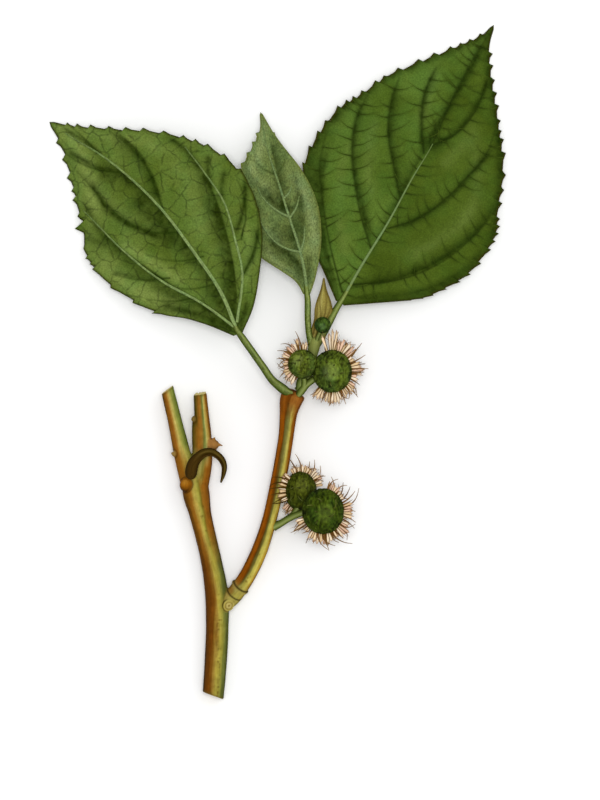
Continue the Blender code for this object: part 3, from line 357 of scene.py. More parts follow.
def banded(table, where):
    """Colours read from rows of (position, red, green, blue)."""
    data = np.array(table, float)
    return np.column_stack([np.interp(where, data[:, 0], data[:, k]) for k in (1, 2, 3)])


def noise(points, size, seed):
    """Smooth random values from -1 to 1 at each point, with features of the given size."""
    table = np.random.default_rng(seed).uniform(-1, 1, 4096)
    scaled = np.asarray(points, float) / size + 500.0
    cell = np.floor(scaled).astype(np.int64)
    part = scaled - cell
    part = part * part * (3 - 2 * part)
    total = np.zeros(len(scaled))
    for corner in range(8):
        step = np.array([corner & 1, corner >> 1 & 1, corner >> 2 & 1])
        weight = np.prod(np.where(step, part, 1 - part), axis=1)
        key = (cell + step) @ np.array([73, 1171, 31337])
        total += table[key % 4096] * weight
    return total


# Pieces are gathered as parts: (points, faces, tones, grains), with one colour and one grain
# position for each point.  The grain runs along z, so that streaks follow stems and strips.
def grid_faces(rows, columns, wrap=False, start=0):
    faces = []
    for i in range(rows - 1):
        for k in range(columns if wrap else columns - 1):
            a = start + i * columns + k
            b = start + i * columns + (k + 1) % columns
            faces.append((a, b, b + columns, a + columns))
    return faces


def tube(points, rings, sides, tone, start_cut=None, end_cut=None):
    """Closed tapered tube; tone(across, share) gives colours, across from -1 left to 1 right."""
    rows = along(points, np.linspace(0, 1, rings))
    centres = rows[:, :3]
    tangents = unit(np.gradient(centres, axis=0))
    mean = np.abs(tangents.mean(axis=0))
    reference = np.array((0.0, 0.0, 1.0)) if mean[2] < 0.8 else np.eye(3)[np.argmin(mean)]
    sideways = unit(np.cross(tangents, reference))
    above = np.cross(sideways, tangents)
    turns = 2 * math.pi * (np.arange(sides) + 0.5) / sides
    arms = rows[:, 3][:, None, None] * (np.cos(turns)[None, :, None] * sideways[:, None]
                                         + np.sin(turns)[None, :, None] * above[:, None])
    for index, cut in ((0, start_cut), (rings - 1, end_cut)):
        if cut is not None:
            slide = arms[index] @ np.array(cut) / np.dot(tangents[index], cut)
            arms[index] -= slide[:, None] * tangents[index]
    verts = (centres[:, None] + arms).reshape(-1, 3)
    steps = np.linalg.norm(np.diff(centres, axis=0), axis=1)
    travelled = np.concatenate([[0.0], np.cumsum(steps)])
    across = np.tile(np.cos(turns), rings)
    share = np.repeat(travelled / travelled[-1], sides)
    girth = np.repeat(rows[:, 3], sides)
    grain = np.column_stack([across * girth, np.tile(np.sin(turns), rings) * girth,
                             np.repeat(travelled, sides)])
    faces = [tuple(range(sides))[::-1], tuple((rings - 1) * sides + k for k in range(sides))]
    faces += grid_faces(rings, sides, wrap=True)
    return verts, faces, tone(across, share), grain


def disc(centre, axis, profile, sides, colour):
    """Turned button: (distance along the axis, radius) rings, closed at both ends."""
    axis = unit(np.array(axis, float))
    sideways = unit(np.cross(axis, (0.3, 0.2, 1.0)))
    above = np.cross(axis, sideways)
    turns = 2 * math.pi * np.arange(sides) / sides
    ring = np.cos(turns)[:, None] * sideways + np.sin(turns)[:, None] * above
    verts = np.concatenate([np.array(centre) + axis * rise + radius * ring for rise, radius in profile])
    last = (len(profile) - 1) * sides
    faces = [tuple(range(sides))[::-1], tuple(last + k for k in range(sides))]
    faces += grid_faces(len(profile), sides, wrap=True)
    return verts, faces, np.tile(colour, (len(verts), 1)), verts.copy()


def ball(centre, radii, detail, colour):
    bm = bmesh.new()
    bmesh.ops.create_icosphere(bm, subdivisions=detail, radius=1.0)
    verts = np.array([vert.co for vert in bm.verts]) * radii + np.array(centre)
    faces = [tuple(vert.index for vert in face.verts) for face in bm.faces]
    bm.free()
    return verts, faces, np.tile(colour, (len(verts), 1)), verts.copy()


def join(parts):
    """One part from several."""
    verts = []
    faces = []
    start = 0
    for points, polygons, _, _ in parts:
        verts.append(points)
        faces += [tuple(start + k for k in polygon) for polygon in polygons]
        start += len(points)
    return (np.concatenate(verts), faces, np.concatenate([part[2] for part in parts]),
            np.concatenate([part[3] for part in parts]))


def new_mesh(name, verts, faces):
    mesh = bpy.data.meshes.new(name)
    mesh.from_pydata([tuple(v) for v in np.asarray(verts, float).tolist()], [], faces)
    bm = bmesh.new()
    bm.from_mesh(mesh)
    bmesh.ops.recalc_face_normals(bm, faces=bm.faces)
    bm.to_mesh(mesh)
    bm.free()
    return mesh


def place(name, part, material, node, sharp=50):
    """Shown piece: the part moved into the row frame, riding on the root body in place of a node."""
    verts, faces, tones, grains = part
    mesh = new_mesh(name, (verts - MIDDLE) * MM, faces)
    tone = mesh.attributes.new("tone", "FLOAT_COLOR", "POINT")
    rgba = np.column_stack([tones, np.ones(len(tones))]).astype(np.float32)
    tone.data.foreach_set("color", rgba.ravel())
    grain = mesh.attributes.new("grain", "FLOAT_VECTOR", "POINT")
    grain.data.foreach_set("vector", np.asarray(grains, np.float32).ravel())
    mesh.shade_smooth()
    mesh.set_sharp_from_angle(angle=math.radians(sharp))
    mesh.materials.append(material)
    piece = bpy.data.objects.new(name, mesh)
    bpy.context.scene.collection.objects.link(piece)
    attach(piece, "root")
    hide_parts(node)
    return piece


def painted(name, roughness, stretch, contrast, bump, patch=None, patch_size=9.0, net=0.0,
            specular=0.025):
    """Material whose colour is the points' tone, varied by streaks along the grain and by patches.

    stretch scales the grain, contrast is the depth of the streaks, patch tints broad soft patches,
    net is the darkness of a fine net of veinlets."""
    made = bpy.data.materials.new(name)
    made.use_nodes = True
    tree = made.node_tree
    shader = tree.nodes["Principled BSDF"]
    shader.inputs["Roughness"].default_value = roughness
    shader.inputs["Specular IOR Level"].default_value = specular

    def node(kind, inputs, **settings):
        """New node; each of its inputs gets a value or is linked to another node's output."""
        result = tree.nodes.new(kind)
        for key, value in settings.items():
            setattr(result, key, value)
        for key, value in inputs.items():
            if isinstance(value, bpy.types.NodeSocket):
                tree.links.new(value, result.inputs[key])
            else:
                result.inputs[key].default_value = value
        return result

    def scaled(vector, factor):
        return node("ShaderNodeVectorMath", {0: vector, "Scale": factor}, operation="SCALE").outputs[0]

    def remapped(value, low, high, start, end, kind="LINEAR"):
        inputs = {"Value": value, "From Min": low, "From Max": high, "To Min": start, "To Max": end}
        return node("ShaderNodeMapRange", inputs, interpolation_type=kind).outputs["Result"]

    tone = node("ShaderNodeAttribute", {}, attribute_name="tone").outputs["Vector"]
    grain = node("ShaderNodeAttribute", {}, attribute_name="grain").outputs["Vector"]
    drawn = node("ShaderNodeVectorMath", {0: grain, 1: stretch}, operation="MULTIPLY").outputs[0]
    streaks = node("ShaderNodeTexNoise", {"Vector": drawn, "Scale": 1.0, "Detail": 4.0, "Roughness": 0.6})
    height = streaks.outputs["Fac"]
    colour = scaled(tone, remapped(height, 0.3, 0.7, 1 - contrast, 1 + contrast))
    if patch:
        tinted = node("ShaderNodeVectorMath", {0: colour, 1: patch}, operation="MULTIPLY").outputs[0]
        broad = node("ShaderNodeTexNoise", {"Vector": grain, "Scale": 1 / patch_size, "Detail": 2.0})
        chosen = remapped(broad.outputs["Fac"], 0.42, 0.62, 0.0, 1.0, "SMOOTHSTEP")
        mix = node("ShaderNodeMix", {"Factor": chosen, "A": colour, "B": tinted}, data_type="VECTOR")
        colour = mix.outputs["Result"]
    if net:
        wander = node("ShaderNodeTexNoise", {"Vector": grain, "Scale": 0.35})
        shift = scaled(wander.outputs["Color"], 2.2)
        moved = node("ShaderNodeVectorMath", {0: grain, 1: shift}, operation="ADD").outputs[0]
        cells = node("ShaderNodeTexVoronoi", {"Vector": moved, "Scale": 0.15}, feature="DISTANCE_TO_EDGE",
                     voronoi_dimensions="2D")
        faint = remapped(wander.outputs["Fac"], 0.32, 0.58, 0.95, 1 - net)
        colour = scaled(colour, remapped(cells.outputs["Distance"], 0.012, 0.08, faint, 1.0, "SMOOTHSTEP"))
    tree.links.new(colour, shader.inputs["Base Color"])
    relief = node("ShaderNodeBump", {"Height": height, "Strength": 0.5, "Distance": bump * MM})
    tree.links.new(relief.outputs["Normal"], shader.inputs["Normal"])
    return made


# Leaves
def tooth_table(leaf, key, depth):
    """Rows of (share, stand) of a hooked edge: nearly even, then out to each peak and sharply back."""
    peaks = leaf[key + "_teeth"]
    if not peaks:
        return [(0.0, 0.0), (1.0, 0.0)]
    rows = [(peaks[0] - 0.05, 0.0)]
    for k, peak in enumerate(peaks):
        after = peaks[k + 1] if k + 1 < len(peaks) else peak + 0.03
        before = peaks[k - 1] if k else peak - 0.05
        tall = leaf.get("tall", {}).get(peak, 1.0)
        size = depth * tall * min(1.0, (peak - before) / 0.035, (1 - peak) * 14)
        rows.append((peak - 0.35 * (peak - before), -0.12 * size))
        rows.append((peak, 0.6 * size))
        rows.append((peak + TOOTH_DROP * (after - peak), -0.4 * size))
    rows.append((1.0, 0.0))
    return rows


def leaf_sheet(leaf, shares, outs, side, depth=TOOTH_DEPTH):
    """Points of the upper face for each share of the length and each out, 0 midrib to 1 edge, and
    their distances from the midrib."""
    key = "right" if side > 0 else "left"
    midrib = along(leaf["midrib"], shares)
    forward = unit((along(leaf["midrib"], shares + 0.01) - along(leaf["midrib"], shares - 0.01))[:, :2])
    normal = side * np.column_stack([forward[:, 1], -forward[:, 0]])
    half = smooth(leaf[key], shares)[:, 0] * np.clip((1.0005 - shares) / 0.012, 0, 1)
    table = np.array(tooth_table(leaf, key, depth))
    stand = np.interp(shares, table[:, 0], table[:, 1])
    reach = half[:, None] * outs + stand[:, None] * outs ** 4 * outs
    flat = midrib[:, None, :2] + normal[:, None] * reach[..., None]
    flat = flat + forward[:, None] * (TOOTH_HOOK * stand[:, None] * outs ** 6)[..., None]
    edge = smooth(leaf[key + "_edge"], shares)[:, 0]
    rise = midrib[:, 2:] + (edge - midrib[:, 2])[:, None] * outs ** 1.5
    swell = (PUCKER * np.minimum(1.0, half / 12))[:, None]
    vein = (shares[:, None] - 0.36 * outs ** 1.3) * SIDE_VEINS
    rise = rise + swell * (np.sin(math.pi * vein) ** 2 - 0.5) * 4 * outs * (1 - 0.75 * outs)
    rise = rise + 0.7 * swell * np.sin(shares * 29 + side)[:, None] * outs ** 3
    rise = np.maximum(rise, BLADE) - (BLADE - FINE_BLADE)
    return np.concatenate([flat, rise[..., None]], axis=2), np.abs(reach)


def plate(path):
    """Points of the drawing's frame for pixels counted from the plate's upper left corner."""
    return [((x - PLATE_ORIGIN[0]) * PIXEL, (PLATE_ORIGIN[1] - y) * PIXEL) for x, y in path]


def path_fields(xy, path):
    """For each point: distance to a smooth path, share along it, and whether it lies to its left."""
    line = along([(x, y, 0.0) for x, y in path], np.linspace(0, 1, 25))[:, :2]
    nearest = np.full(len(xy), 1e9)
    share = np.zeros(len(xy))
    left = np.zeros(len(xy), bool)
    for k in range(len(line) - 1):
        run = line[k + 1] - line[k]
        length = np.linalg.norm(run)
        run = run / length
        offset = xy - line[k]
        on = np.clip(offset @ run, 0, length)
        gap = np.linalg.norm(offset - on[:, None] * run, axis=1)
        closer = gap < nearest
        nearest = np.where(closer, gap, nearest)
        share = np.where(closer, (k + on / length) / (len(line) - 1), share)
        left = np.where(closer, run[0] * offset[:, 1] - run[1] * offset[:, 0] > 0, left)
    return nearest, share, left


def stroke(xy, path, left_reach, right_reach, strength):
    """Strength at each point of a soft brush stroke along a plate path, with its own reach each side."""
    gap, on, left = path_fields(xy, plate(path))
    reach = np.where(left, left_reach, right_reach) * PIXEL
    ends = np.clip(np.minimum(on, 1 - on) / 0.15 + 0.2, 0, 1)
    return strength * ends * np.exp(-np.abs(gap / (1.25 * reach)) ** 1.7)


def leaf_tones(look, xy, edge, side, veinlets):
    """Colour of the upper face at each point, with its painted light and painted shade, and how deep its
    furrows are there.
    """
    spots = np.column_stack([xy, np.zeros(len(xy))])
    patches = 0.52 + 0.5 * noise(spots, 14, 3) + 0.32 * noise(spots, 5, 4) + 0.2 * noise(spots, 1.6, 9)
    tones = blend(look["mid"], look["light"], patches)
    left_tint, right_tint = look["tints"]
    tones = tones * np.where(side[:, None] > 0, right_tint, left_tint)
    # Painted light: soft lighter strokes.
    for painted_light in look["painted_light_strokes"]:
        tones = blend(tones, look["painted_light"], stroke(xy, *painted_light) * (1 + 0.3 * noise(spots, 1.8, 10)))
    # Painted shade: soft dark strokes, then a soft dark halo round each veinlet.
    dark = np.zeros(len(xy))
    for shade in look["shades"]:
        dark = 1 - (1 - dark) * (1 - stroke(xy, *shade))
    for points in veinlets:
        near = np.abs(xy - points[1]).max(axis=1) < 6.0
        gap, on, _ = path_fields(xy[near], points)
        dark[near] = 1 - (1 - dark[near]) * (1 - 0.55 * (1 - 0.8 * on) * np.exp(-(gap / 0.6) ** 2))
    strength, reach = look["band"]
    dark = 1 - (1 - dark) * (1 - strength * np.exp(-(edge / reach) ** 2))
    uneven = 1 + 0.22 * noise(spots, 2.6, 5) + 0.16 * noise(spots, 0.9, 6)
    tones = blend(tones, look["dark"], dark * uneven)
    depth = np.zeros(len(xy))
    # Each furrow gets a dark line painted as shade in its groove, and the groove's depth.
    for path in look["furrows"]:
        gap, on, _ = path_fields(xy, path)
        fade = 1 - 0.6 * on
        tones = blend(tones, look["line"], 0.88 * np.exp(-(gap / 0.4) ** 2) * fade)
        depth = np.maximum(depth, 0.28 * np.exp(-(gap / 0.75) ** 2) * fade)
    tones = blend(tones, look["margin"], 0.92 * np.exp(-(edge / 0.7) ** 2))
    return tones, depth


def blade(leaf, look, rows, columns, depth=TOOTH_DEPTH, veinlets=()):
    """Closed fine blade: a dense upper face, a lower face of every third point, and a rim.  Also the
    grid of the upper face's points."""
    knots = [row[0] for key in ("right", "left") for row in tooth_table(leaf, key, depth)]
    knots = [knot for knot in knots if 0.02 < knot < 0.99]
    spare = (1 - rows - len(set(knots))) % 3
    shares = np.sort(np.unique(np.concatenate([np.linspace(0, 1, rows + spare), knots])))
    while len(shares) % 3 != 1:
        shares = np.sort(np.append(shares, (shares[0] + shares[1]) / 2))
    outs = np.linspace(0, 1, columns + 1)
    right, right_reach = leaf_sheet(leaf, shares, outs, 1, depth)
    left, left_reach = leaf_sheet(leaf, shares, outs, -1, depth)
    top = np.concatenate([left[:, :0:-1], right], axis=1)
    left_edge = left_reach[:, -1:] - left_reach
    right_edge = right_reach[:, -1:] - right_reach
    edge = np.concatenate([left_edge[:, :0:-1], right_edge], axis=1)
    count, wide = top.shape[:2]
    points = top.reshape(-1, 3)
    side = np.tile(np.where(np.arange(wide) < columns, -1, 1), count)
    tones, furrow = leaf_tones(look, points[:, :2], edge.ravel(), side, veinlets)
    margin = np.clip(edge.ravel() / 1.2, 0, 1)
    texture = (0.06 * noise(points, 1.1, 8) + 0.03 * noise(points, 0.6, 18)) * margin
    points = points.copy()
    points[:, 2] = np.maximum(points[:, 2] - furrow * margin + texture, FINE_BLADE)
    grid = points.reshape(count, wide, 3)
    under = grid[::3, ::3].copy()
    under[..., 2] = np.maximum(under[..., 2] - FINE_BLADE, 0.0)
    low_rows, low_wide = under.shape[:2]
    base = count * wide
    verts = np.concatenate([points, under.reshape(-1, 3)])
    under_tones = np.tile(look["under"], (low_rows * low_wide, 1))
    faces = grid_faces(count, wide) + grid_faces(low_rows, low_wide, start=base)
    upper = np.arange(base).reshape(count, wide)
    lower = base + np.arange(low_rows * low_wide).reshape(low_rows, low_wide)
    for high, low in ((upper[:, 0], lower[:, 0]), (upper[:, -1], lower[:, -1]),
                      (upper[0], lower[0]), (upper[-1], lower[-1])):
        for k in range(len(low) - 1):
            a, b, c, d = high[3 * k:3 * k + 4]
            faces += [(a, b, low[k]), (b, c, low[k]), (c, low[k + 1], low[k]), (c, d, low[k + 1])]
    grains = verts.copy()
    grains[:, 2] *= 0.3
    faces = [tuple(int(corner) for corner in face) for face in faces]
    return (verts, faces, np.concatenate([tones, under_tones]), grains), grid


def surface_finder(grid):
    """Function that drops (x, y) points onto a blade's upper face and returns their heights."""
    count, wide = grid.shape[:2]
    tree = BVHTree.FromPolygons([Vector(p) for p in grid.reshape(-1, 3)], grid_faces(count, wide))

    def height(x, y):
        hit = tree.ray_cast(Vector((x, y, 60.0)), Vector((0.0, 0.0, -1.0)))[0]
        return None if hit is None else hit.z

    return height


def laid_line(path, height, radius, sink, rings, sides, tone):
    """Tube laid on a blade along an (x, y) path, or nothing where the path leaves the blade."""
    line = along([(x, y, 0.0) for x, y in path], np.linspace(0, 1, rings))[:, :2]
    rows = []
    for k, (x, y) in enumerate(line):
        z = height(x, y)
        if z is None:
            break
        r = radius[0] + (radius[1] - radius[0]) * k / (rings - 1)
        rows.append((x, y, max(z - sink * r, r), r))
    if len(rows) < 4:
        return None
    return tube(rows, len(rows), sides, tone)


def veinlet_paths(look, midrib, spacing, reach, seed):
    """Short (x, y) paths that leave the furrows and the midrib to both sides and bend to the tip."""
    rng = random.Random(seed)
    paths = []
    for path in look["furrows"] + [midrib]:
        line = along([(x, y, 0.0) for x, y in path], np.linspace(0, 1, 61))[:, :2]
        length = np.linalg.norm(np.diff(line, axis=0), axis=1).sum()
        count = int(length / spacing)
        for k in range(1, count):
            for side in (-1, 1):
                if rng.random() < 0.15:
                    continue
                at = (k + rng.uniform(-0.25, 0.25)) / count
                i = int(np.clip(at * 60, 1, 59))
                run = unit(line[i + 1] - line[i - 1])
                out = side * np.array((run[1], -run[0]))
                long = rng.uniform(*reach)
                lean = rng.uniform(0.0, 0.4)
                bend = rng.uniform(0.05, 0.25)
                start = line[i] + out * 0.1
                middle = start + (out + run * lean) * long * 0.5
                end = start + (out + run * (lean + bend)) * long
                paths.append([start, middle, end])
    return paths


def laid_veinlets(look, paths, height):
    """Low dark lines along the veinlets, fading into the green."""
    dark = blend(look["line"], look["mid"], 0.2)
    green = np.array(look["mid"]) * 0.8

    def tone(across, share):
        return blend(dark, green, np.clip((share - 0.2) / 0.6, 0, 1))

    return [laid_line(path, height, (0.32, 0.1), 0.6, 9, 4, tone) for path in paths]


# Colours across a green stalk from its left side to its right: painted shade darkens both sides and a painted
# highlight lies just right of the middle.
GREEN_SHADING_BANDS = [(-1, 0.03, 0.045, 0.003), (-0.6, 0.07, 0.1, 0.012), (-0.2, 0.15, 0.19, 0.045),
               (0.2, 0.24, 0.29, 0.085), (0.5, 0.17, 0.21, 0.045), (0.8, 0.07, 0.1, 0.01),
               (1, 0.03, 0.045, 0.003)]


def green_tone(across, share):
    return banded(GREEN_SHADING_BANDS, across)


def stalked_leaf(name, petiole, material, rows, columns, depth, lines=None):
    """Fine blade with its ribs, veinlets and petiole, in place of the CAD leaf."""
    leaf = LEAVES[name]
    look = LEAF_LOOKS[name]
    paths = []
    if lines:
        paths = veinlet_paths(look, along(leaf["midrib"], np.linspace(0, 1, 9))[:, :2], *lines)
    sheet, grid = blade(leaf, look, rows, columns, depth, veinlets=paths)
    height = surface_finder(grid)
    parts = [sheet]
    rib = np.array(look["rib"])
    green = np.array(look["mid"])

    def rib_tone(across, share):
        faded = blend(rib, green, np.clip(share * 1.2 - 0.3, 0, 1) ** 2 * 0.75)
        return blend(faded, look["dark"], np.clip((np.abs(across) - 0.72) / 0.28, 0, 1) * 0.6)

    first, last = look["rib_radius"]
    midrib = along(leaf["midrib"], np.linspace(0.0, look["rib_end"], 40))[:, :2]
    parts.append(laid_line(midrib, height, (first, last), 0.4, 90, 10, rib_tone))
    for path in look["ribs"]:
        parts.append(laid_line(path, height, (first * 0.8, last), 0.4, 60, 8, rib_tone))
    parts += laid_veinlets(look, paths, height)
    run = list(petiole)
    for share, drop, radius in ((0.02, 0.45, 1.1), (0.09, 0.7, 0.75), (0.2, 0.6, 0.4)):
        x, y, z = along(leaf["midrib"], [share])[0]
        run.append((x, y, z - drop - (BLADE - FINE_BLADE), radius))

    def stalk_tone(across, share):
        return blend(green_tone(across, share), rib, np.clip((share - 0.75) * 4, 0, 0.8))

    parts.append(tube(run, 60, 16, stalk_tone))
    place(name + "_fine", join([part for part in parts if part is not None]), material, name)
    return grid


# Woody branch
# Colours across each branch from its left side to its right: the bark's own brown, orange and green stripes,
# painted shade darkening both sides, and a painted highlight in the palest stripe near the middle.
BARK_AND_SHADING_BANDS = {
    "main": [(-1, 0.045, 0.018, 0.001), (-0.78, 0.105, 0.034, 0.002), (-0.45, 0.15, 0.047, 0.003),
             (-0.2, 0.19, 0.085, 0.008), (0.0, 0.3, 0.19, 0.032), (0.2, 0.38, 0.31, 0.05),
             (0.45, 0.28, 0.255, 0.04), (0.7, 0.13, 0.145, 0.028), (0.9, 0.075, 0.085, 0.014),
             (1, 0.04, 0.04, 0.004)],
    "left": [(-1, 0.06, 0.03, 0.002), (-0.75, 0.19, 0.075, 0.006), (-0.4, 0.27, 0.1, 0.01),
             (-0.2, 0.36, 0.2, 0.035), (0.04, 0.5, 0.4, 0.11), (0.3, 0.34, 0.33, 0.07),
             (0.62, 0.17, 0.21, 0.035), (0.88, 0.11, 0.14, 0.02), (1, 0.05, 0.055, 0.008)],
    "right": [(-1, 0.05, 0.04, 0.003), (-0.7, 0.1, 0.07, 0.007), (-0.35, 0.29, 0.115, 0.011),
              (-0.08, 0.27, 0.14, 0.02), (0.08, 0.13, 0.155, 0.03), (0.26, 0.26, 0.28, 0.075),
              (0.4, 0.48, 0.42, 0.12), (0.6, 0.42, 0.29, 0.06), (0.8, 0.22, 0.085, 0.006),
              (1, 0.1, 0.045, 0.003)],
    "shoot": [(-1, 0.13, 0.042, 0.001), (-0.72, 0.28, 0.078, 0.002), (-0.42, 0.2, 0.052, 0.001),
              (-0.28, 0.1, 0.036, 0.001), (-0.12, 0.1, 0.08, 0.014), (0.05, 0.17, 0.155, 0.035),
              (0.2, 0.38, 0.33, 0.06), (0.5, 0.52, 0.45, 0.09), (0.78, 0.42, 0.27, 0.03),
              (0.9, 0.22, 0.085, 0.004), (1, 0.1, 0.032, 0.001)],
    "shoot_top": [(-1, 0.12, 0.04, 0.001), (-0.75, 0.28, 0.08, 0.002), (-0.54, 0.24, 0.06, 0.001),
                  (-0.4, 0.09, 0.028, 0.001), (-0.25, 0.11, 0.085, 0.015), (0.0, 0.15, 0.135, 0.035),
                  (0.15, 0.22, 0.2, 0.045), (0.3, 0.5, 0.44, 0.1), (0.46, 0.45, 0.35, 0.06),
                  (0.6, 0.25, 0.1, 0.006), (0.82, 0.27, 0.08, 0.003), (1, 0.1, 0.03, 0.001)],
    "forked": [(-1, 0.06, 0.026, 0.001), (-0.65, 0.18, 0.07, 0.004), (-0.35, 0.28, 0.12, 0.012),
               (-0.12, 0.45, 0.35, 0.07), (0.08, 0.34, 0.31, 0.05), (0.28, 0.17, 0.13, 0.012),
               (0.45, 0.28, 0.13, 0.014), (0.7, 0.27, 0.1, 0.008), (1, 0.08, 0.03, 0.002)],
    "crook": [(-1, 0.4, 0.34, 0.08), (-0.2, 0.42, 0.37, 0.1), (0.05, 0.26, 0.24, 0.045),
              (0.22, 0.25, 0.14, 0.015), (0.45, 0.3, 0.105, 0.008), (0.75, 0.26, 0.09, 0.006),
              (1, 0.09, 0.035, 0.002)],
    "node": [(-1, 0.17, 0.05, 0.002), (-0.62, 0.26, 0.08, 0.006), (-0.35, 0.14, 0.04, 0.002),
             (-0.16, 0.11, 0.033, 0.002), (0.05, 0.26, 0.094, 0.012), (0.35, 0.32, 0.125, 0.02),
             (0.75, 0.25, 0.082, 0.01), (1, 0.12, 0.038, 0.002)],
}
BRANCHES = {"main": MAIN_STEM, "left": LEFT_STUB, "right": RIGHT_STUB, "shoot": SIDE_SHOOT}


def pore_row(across, travelled):
    """Share of dark pore at each point: one small dot every 1.4 mm near the foot of the main stem."""
    step = np.round(travelled / 1.4)
    row = 0.34 - 0.3 * np.clip((travelled - 12) / 10, 0, 1) + 0.07 * np.sin(step * 2.4)
    beyond = travelled - 1.4 * step - 0.25 * np.sin(step * 1.7)
    spot = np.exp(-(beyond ** 2 + (4.3 * (across - row)) ** 2) / 0.4 ** 2)
    return spot * (0.7 + 0.3 * np.sin(step * 5.1)) * (travelled < 33)


def plain(colour):
    return lambda across, share: np.tile(colour, (len(across), 1))


def remeshed(parts, voxel, rounds):
    """Parts melted into one closed skin, as (points, faces, normals)."""
    verts, faces, _, _ = join(parts)
    lump = bpy.data.objects.new("lump", new_mesh("lump", verts, faces))
    bpy.context.scene.collection.objects.link(lump)
    melt = lump.modifiers.new("melt", "REMESH")
    melt.mode = "VOXEL"
    melt.voxel_size = voxel
    ease = lump.modifiers.new("ease", "SMOOTH")
    ease.factor = 0.5
    ease.iterations = rounds
    bpy.context.view_layer.update()
    skin = bpy.data.meshes.new_from_object(lump.evaluated_get(bpy.context.evaluated_depsgraph_get()))
    points = np.zeros(len(skin.vertices) * 3)
    skin.vertices.foreach_get("co", points)
    normals = np.zeros(len(skin.vertices) * 3)
    skin.vertex_normals.foreach_get("vector", normals)
    polygons = [tuple(polygon.vertices) for polygon in skin.polygons]
    bpy.data.objects.remove(lump)
    return points.reshape(-1, 3), polygons, normals.reshape(-1, 3)


def stem_fields(points, path):
    """Distance beyond the stem's radius, position across from -1 to 1, and length along it."""
    rows = along(path, np.linspace(0, 1, 120))
    centres = rows[:, :3]
    tangents = unit(np.gradient(centres, axis=0))
    steps = np.linalg.norm(np.diff(centres, axis=0), axis=1)
    travelled = np.concatenate([[0.0], np.cumsum(steps)])
    best = np.full(len(points), 1e9)
    nearest = np.zeros(len(points), int)
    for k in range(len(centres)):
        gap = np.linalg.norm(points - centres[k], axis=1)
        closer = gap < best
        best = np.where(closer, gap, best)
        nearest = np.where(closer, k, nearest)
    sideways = unit(np.cross(tangents, (0.0, 0.0, 1.0)))
    offset = points - centres[nearest]
    across = (offset * sideways[nearest]).sum(1) / rows[nearest, 3]
    return best - rows[nearest, 3], np.clip(across, -1.1, 1.1), travelled[nearest], offset[:, 2]


def branch_lump():
    """All parts of the branch melted into one skin, as (points, faces, normals)."""
    bark = plain((0.2, 0.1, 0.02))
    scar = [(rise, radius * SCAR_SCALE) for rise, radius in SCAR_PROFILE]
    parts = [tube(MAIN_STEM, 50, 40, bark, start_cut=STEM_CUT),
             tube(LEFT_STUB, 30, 32, bark, end_cut=LEFT_CUT),
             tube(RIGHT_STUB, 30, 32, bark, end_cut=RIGHT_CUT),
             tube(SIDE_SHOOT, 80, 32, bark),
             tube(SHOULDER, 20, 24, bark),
             tube(TORN_SCALE, 12, 12, bark),
             *[tube(spur, 8, 10, bark) for spur in TORN_SPURS],
             ball(KNOB_CENTRE, KNOB_RADII, 4, (0, 0, 0)),
             disc(SCAR_CENTRE, SCAR_AXIS, scar, 48, (0, 0, 0))]
    for centre, radius in COLLARS:
        low = radius - 0.7
        profile = [(-0.6, low), (-0.35, radius), (0.35, radius), (0.6, low)]
        parts.append(disc(centre, COLLAR_AXIS, profile, 48, (0, 0, 0)))
    for points in POINTED_KNOBS:
        parts.append(tube(points, 8, 12, bark))
    return remeshed(parts, voxel=0.34, rounds=4)


def bark_tones(points):
    """Tones of the bark with its painted shade and highlights, its grain, and the number of the branch that
    each point belongs to.
    """
    weights = []
    colours = []
    grains = []
    for index, (key, path) in enumerate(BRANCHES.items()):
        beyond, across, travelled, lift = stem_fields(points, path)
        streak = np.column_stack([across * 4, lift, travelled / 14])
        warped = across + 0.12 * noise(streak, 0.9, 20 + index) + 0.07 * noise(streak, 0.35, 30 + index)
        band = banded(BARK_AND_SHADING_BANDS[key], warped)
        if key == "main":
            band = blend(band, banded(BARK_AND_SHADING_BANDS["forked"], warped), (travelled - 50) / 18)
            band = blend(band, (0.1, 0.05, 0.006), 0.75 * pore_row(across, travelled))
        if key == "left":
            # Near its foot the left stub is paler and yellower, with painted shade along its right side.
            yellow = banded(BARK_AND_SHADING_BANDS["left"], warped * 0.55 - 0.2) * (0.97, 1.0, 0.75)
            yellow = blend(yellow, (0.06, 0.05, 0.004), 0.8 * np.clip((across - 0.86) / 0.14, 0, 1))
            band = blend(band, yellow, (18 - travelled) / 7)
        if key == "right":
            low = np.clip((27 - travelled) / 3, 0, 1) * (warped < 0)
            band = banded(BARK_AND_SHADING_BANDS["right"], warped * (1 - 0.36 * low))
            band = blend(band, banded(BARK_AND_SHADING_BANDS["crook"], warped), 1.9 - travelled / 8.5)
        if key == "shoot":
            band = blend(band, banded(BARK_AND_SHADING_BANDS["shoot_top"], warped), (travelled - 52) / 16)
            band = blend(band, banded(BARK_AND_SHADING_BANDS["node"], warped), (travelled - 82) / 8)
            band = blend(band, banded(BARK_AND_SHADING_BANDS["main"], warped * 0.4 + 0.2), 1.2 - travelled / 13)
        colours.append(band)
        weights.append(np.exp(-np.maximum(beyond, 0) / 0.7))
        grains.append(np.column_stack([across * 4, lift, travelled + 200 * index]))
    weights = np.array(weights)
    strongest = weights.argmax(axis=0)
    shares = weights ** 2 / (weights ** 2).sum(axis=0)
    tones = sum(share[:, None] * colour for share, colour in zip(shares, colours))
    grain = np.array(grains)[strongest, np.arange(len(points))]
    return tones, grain, strongest


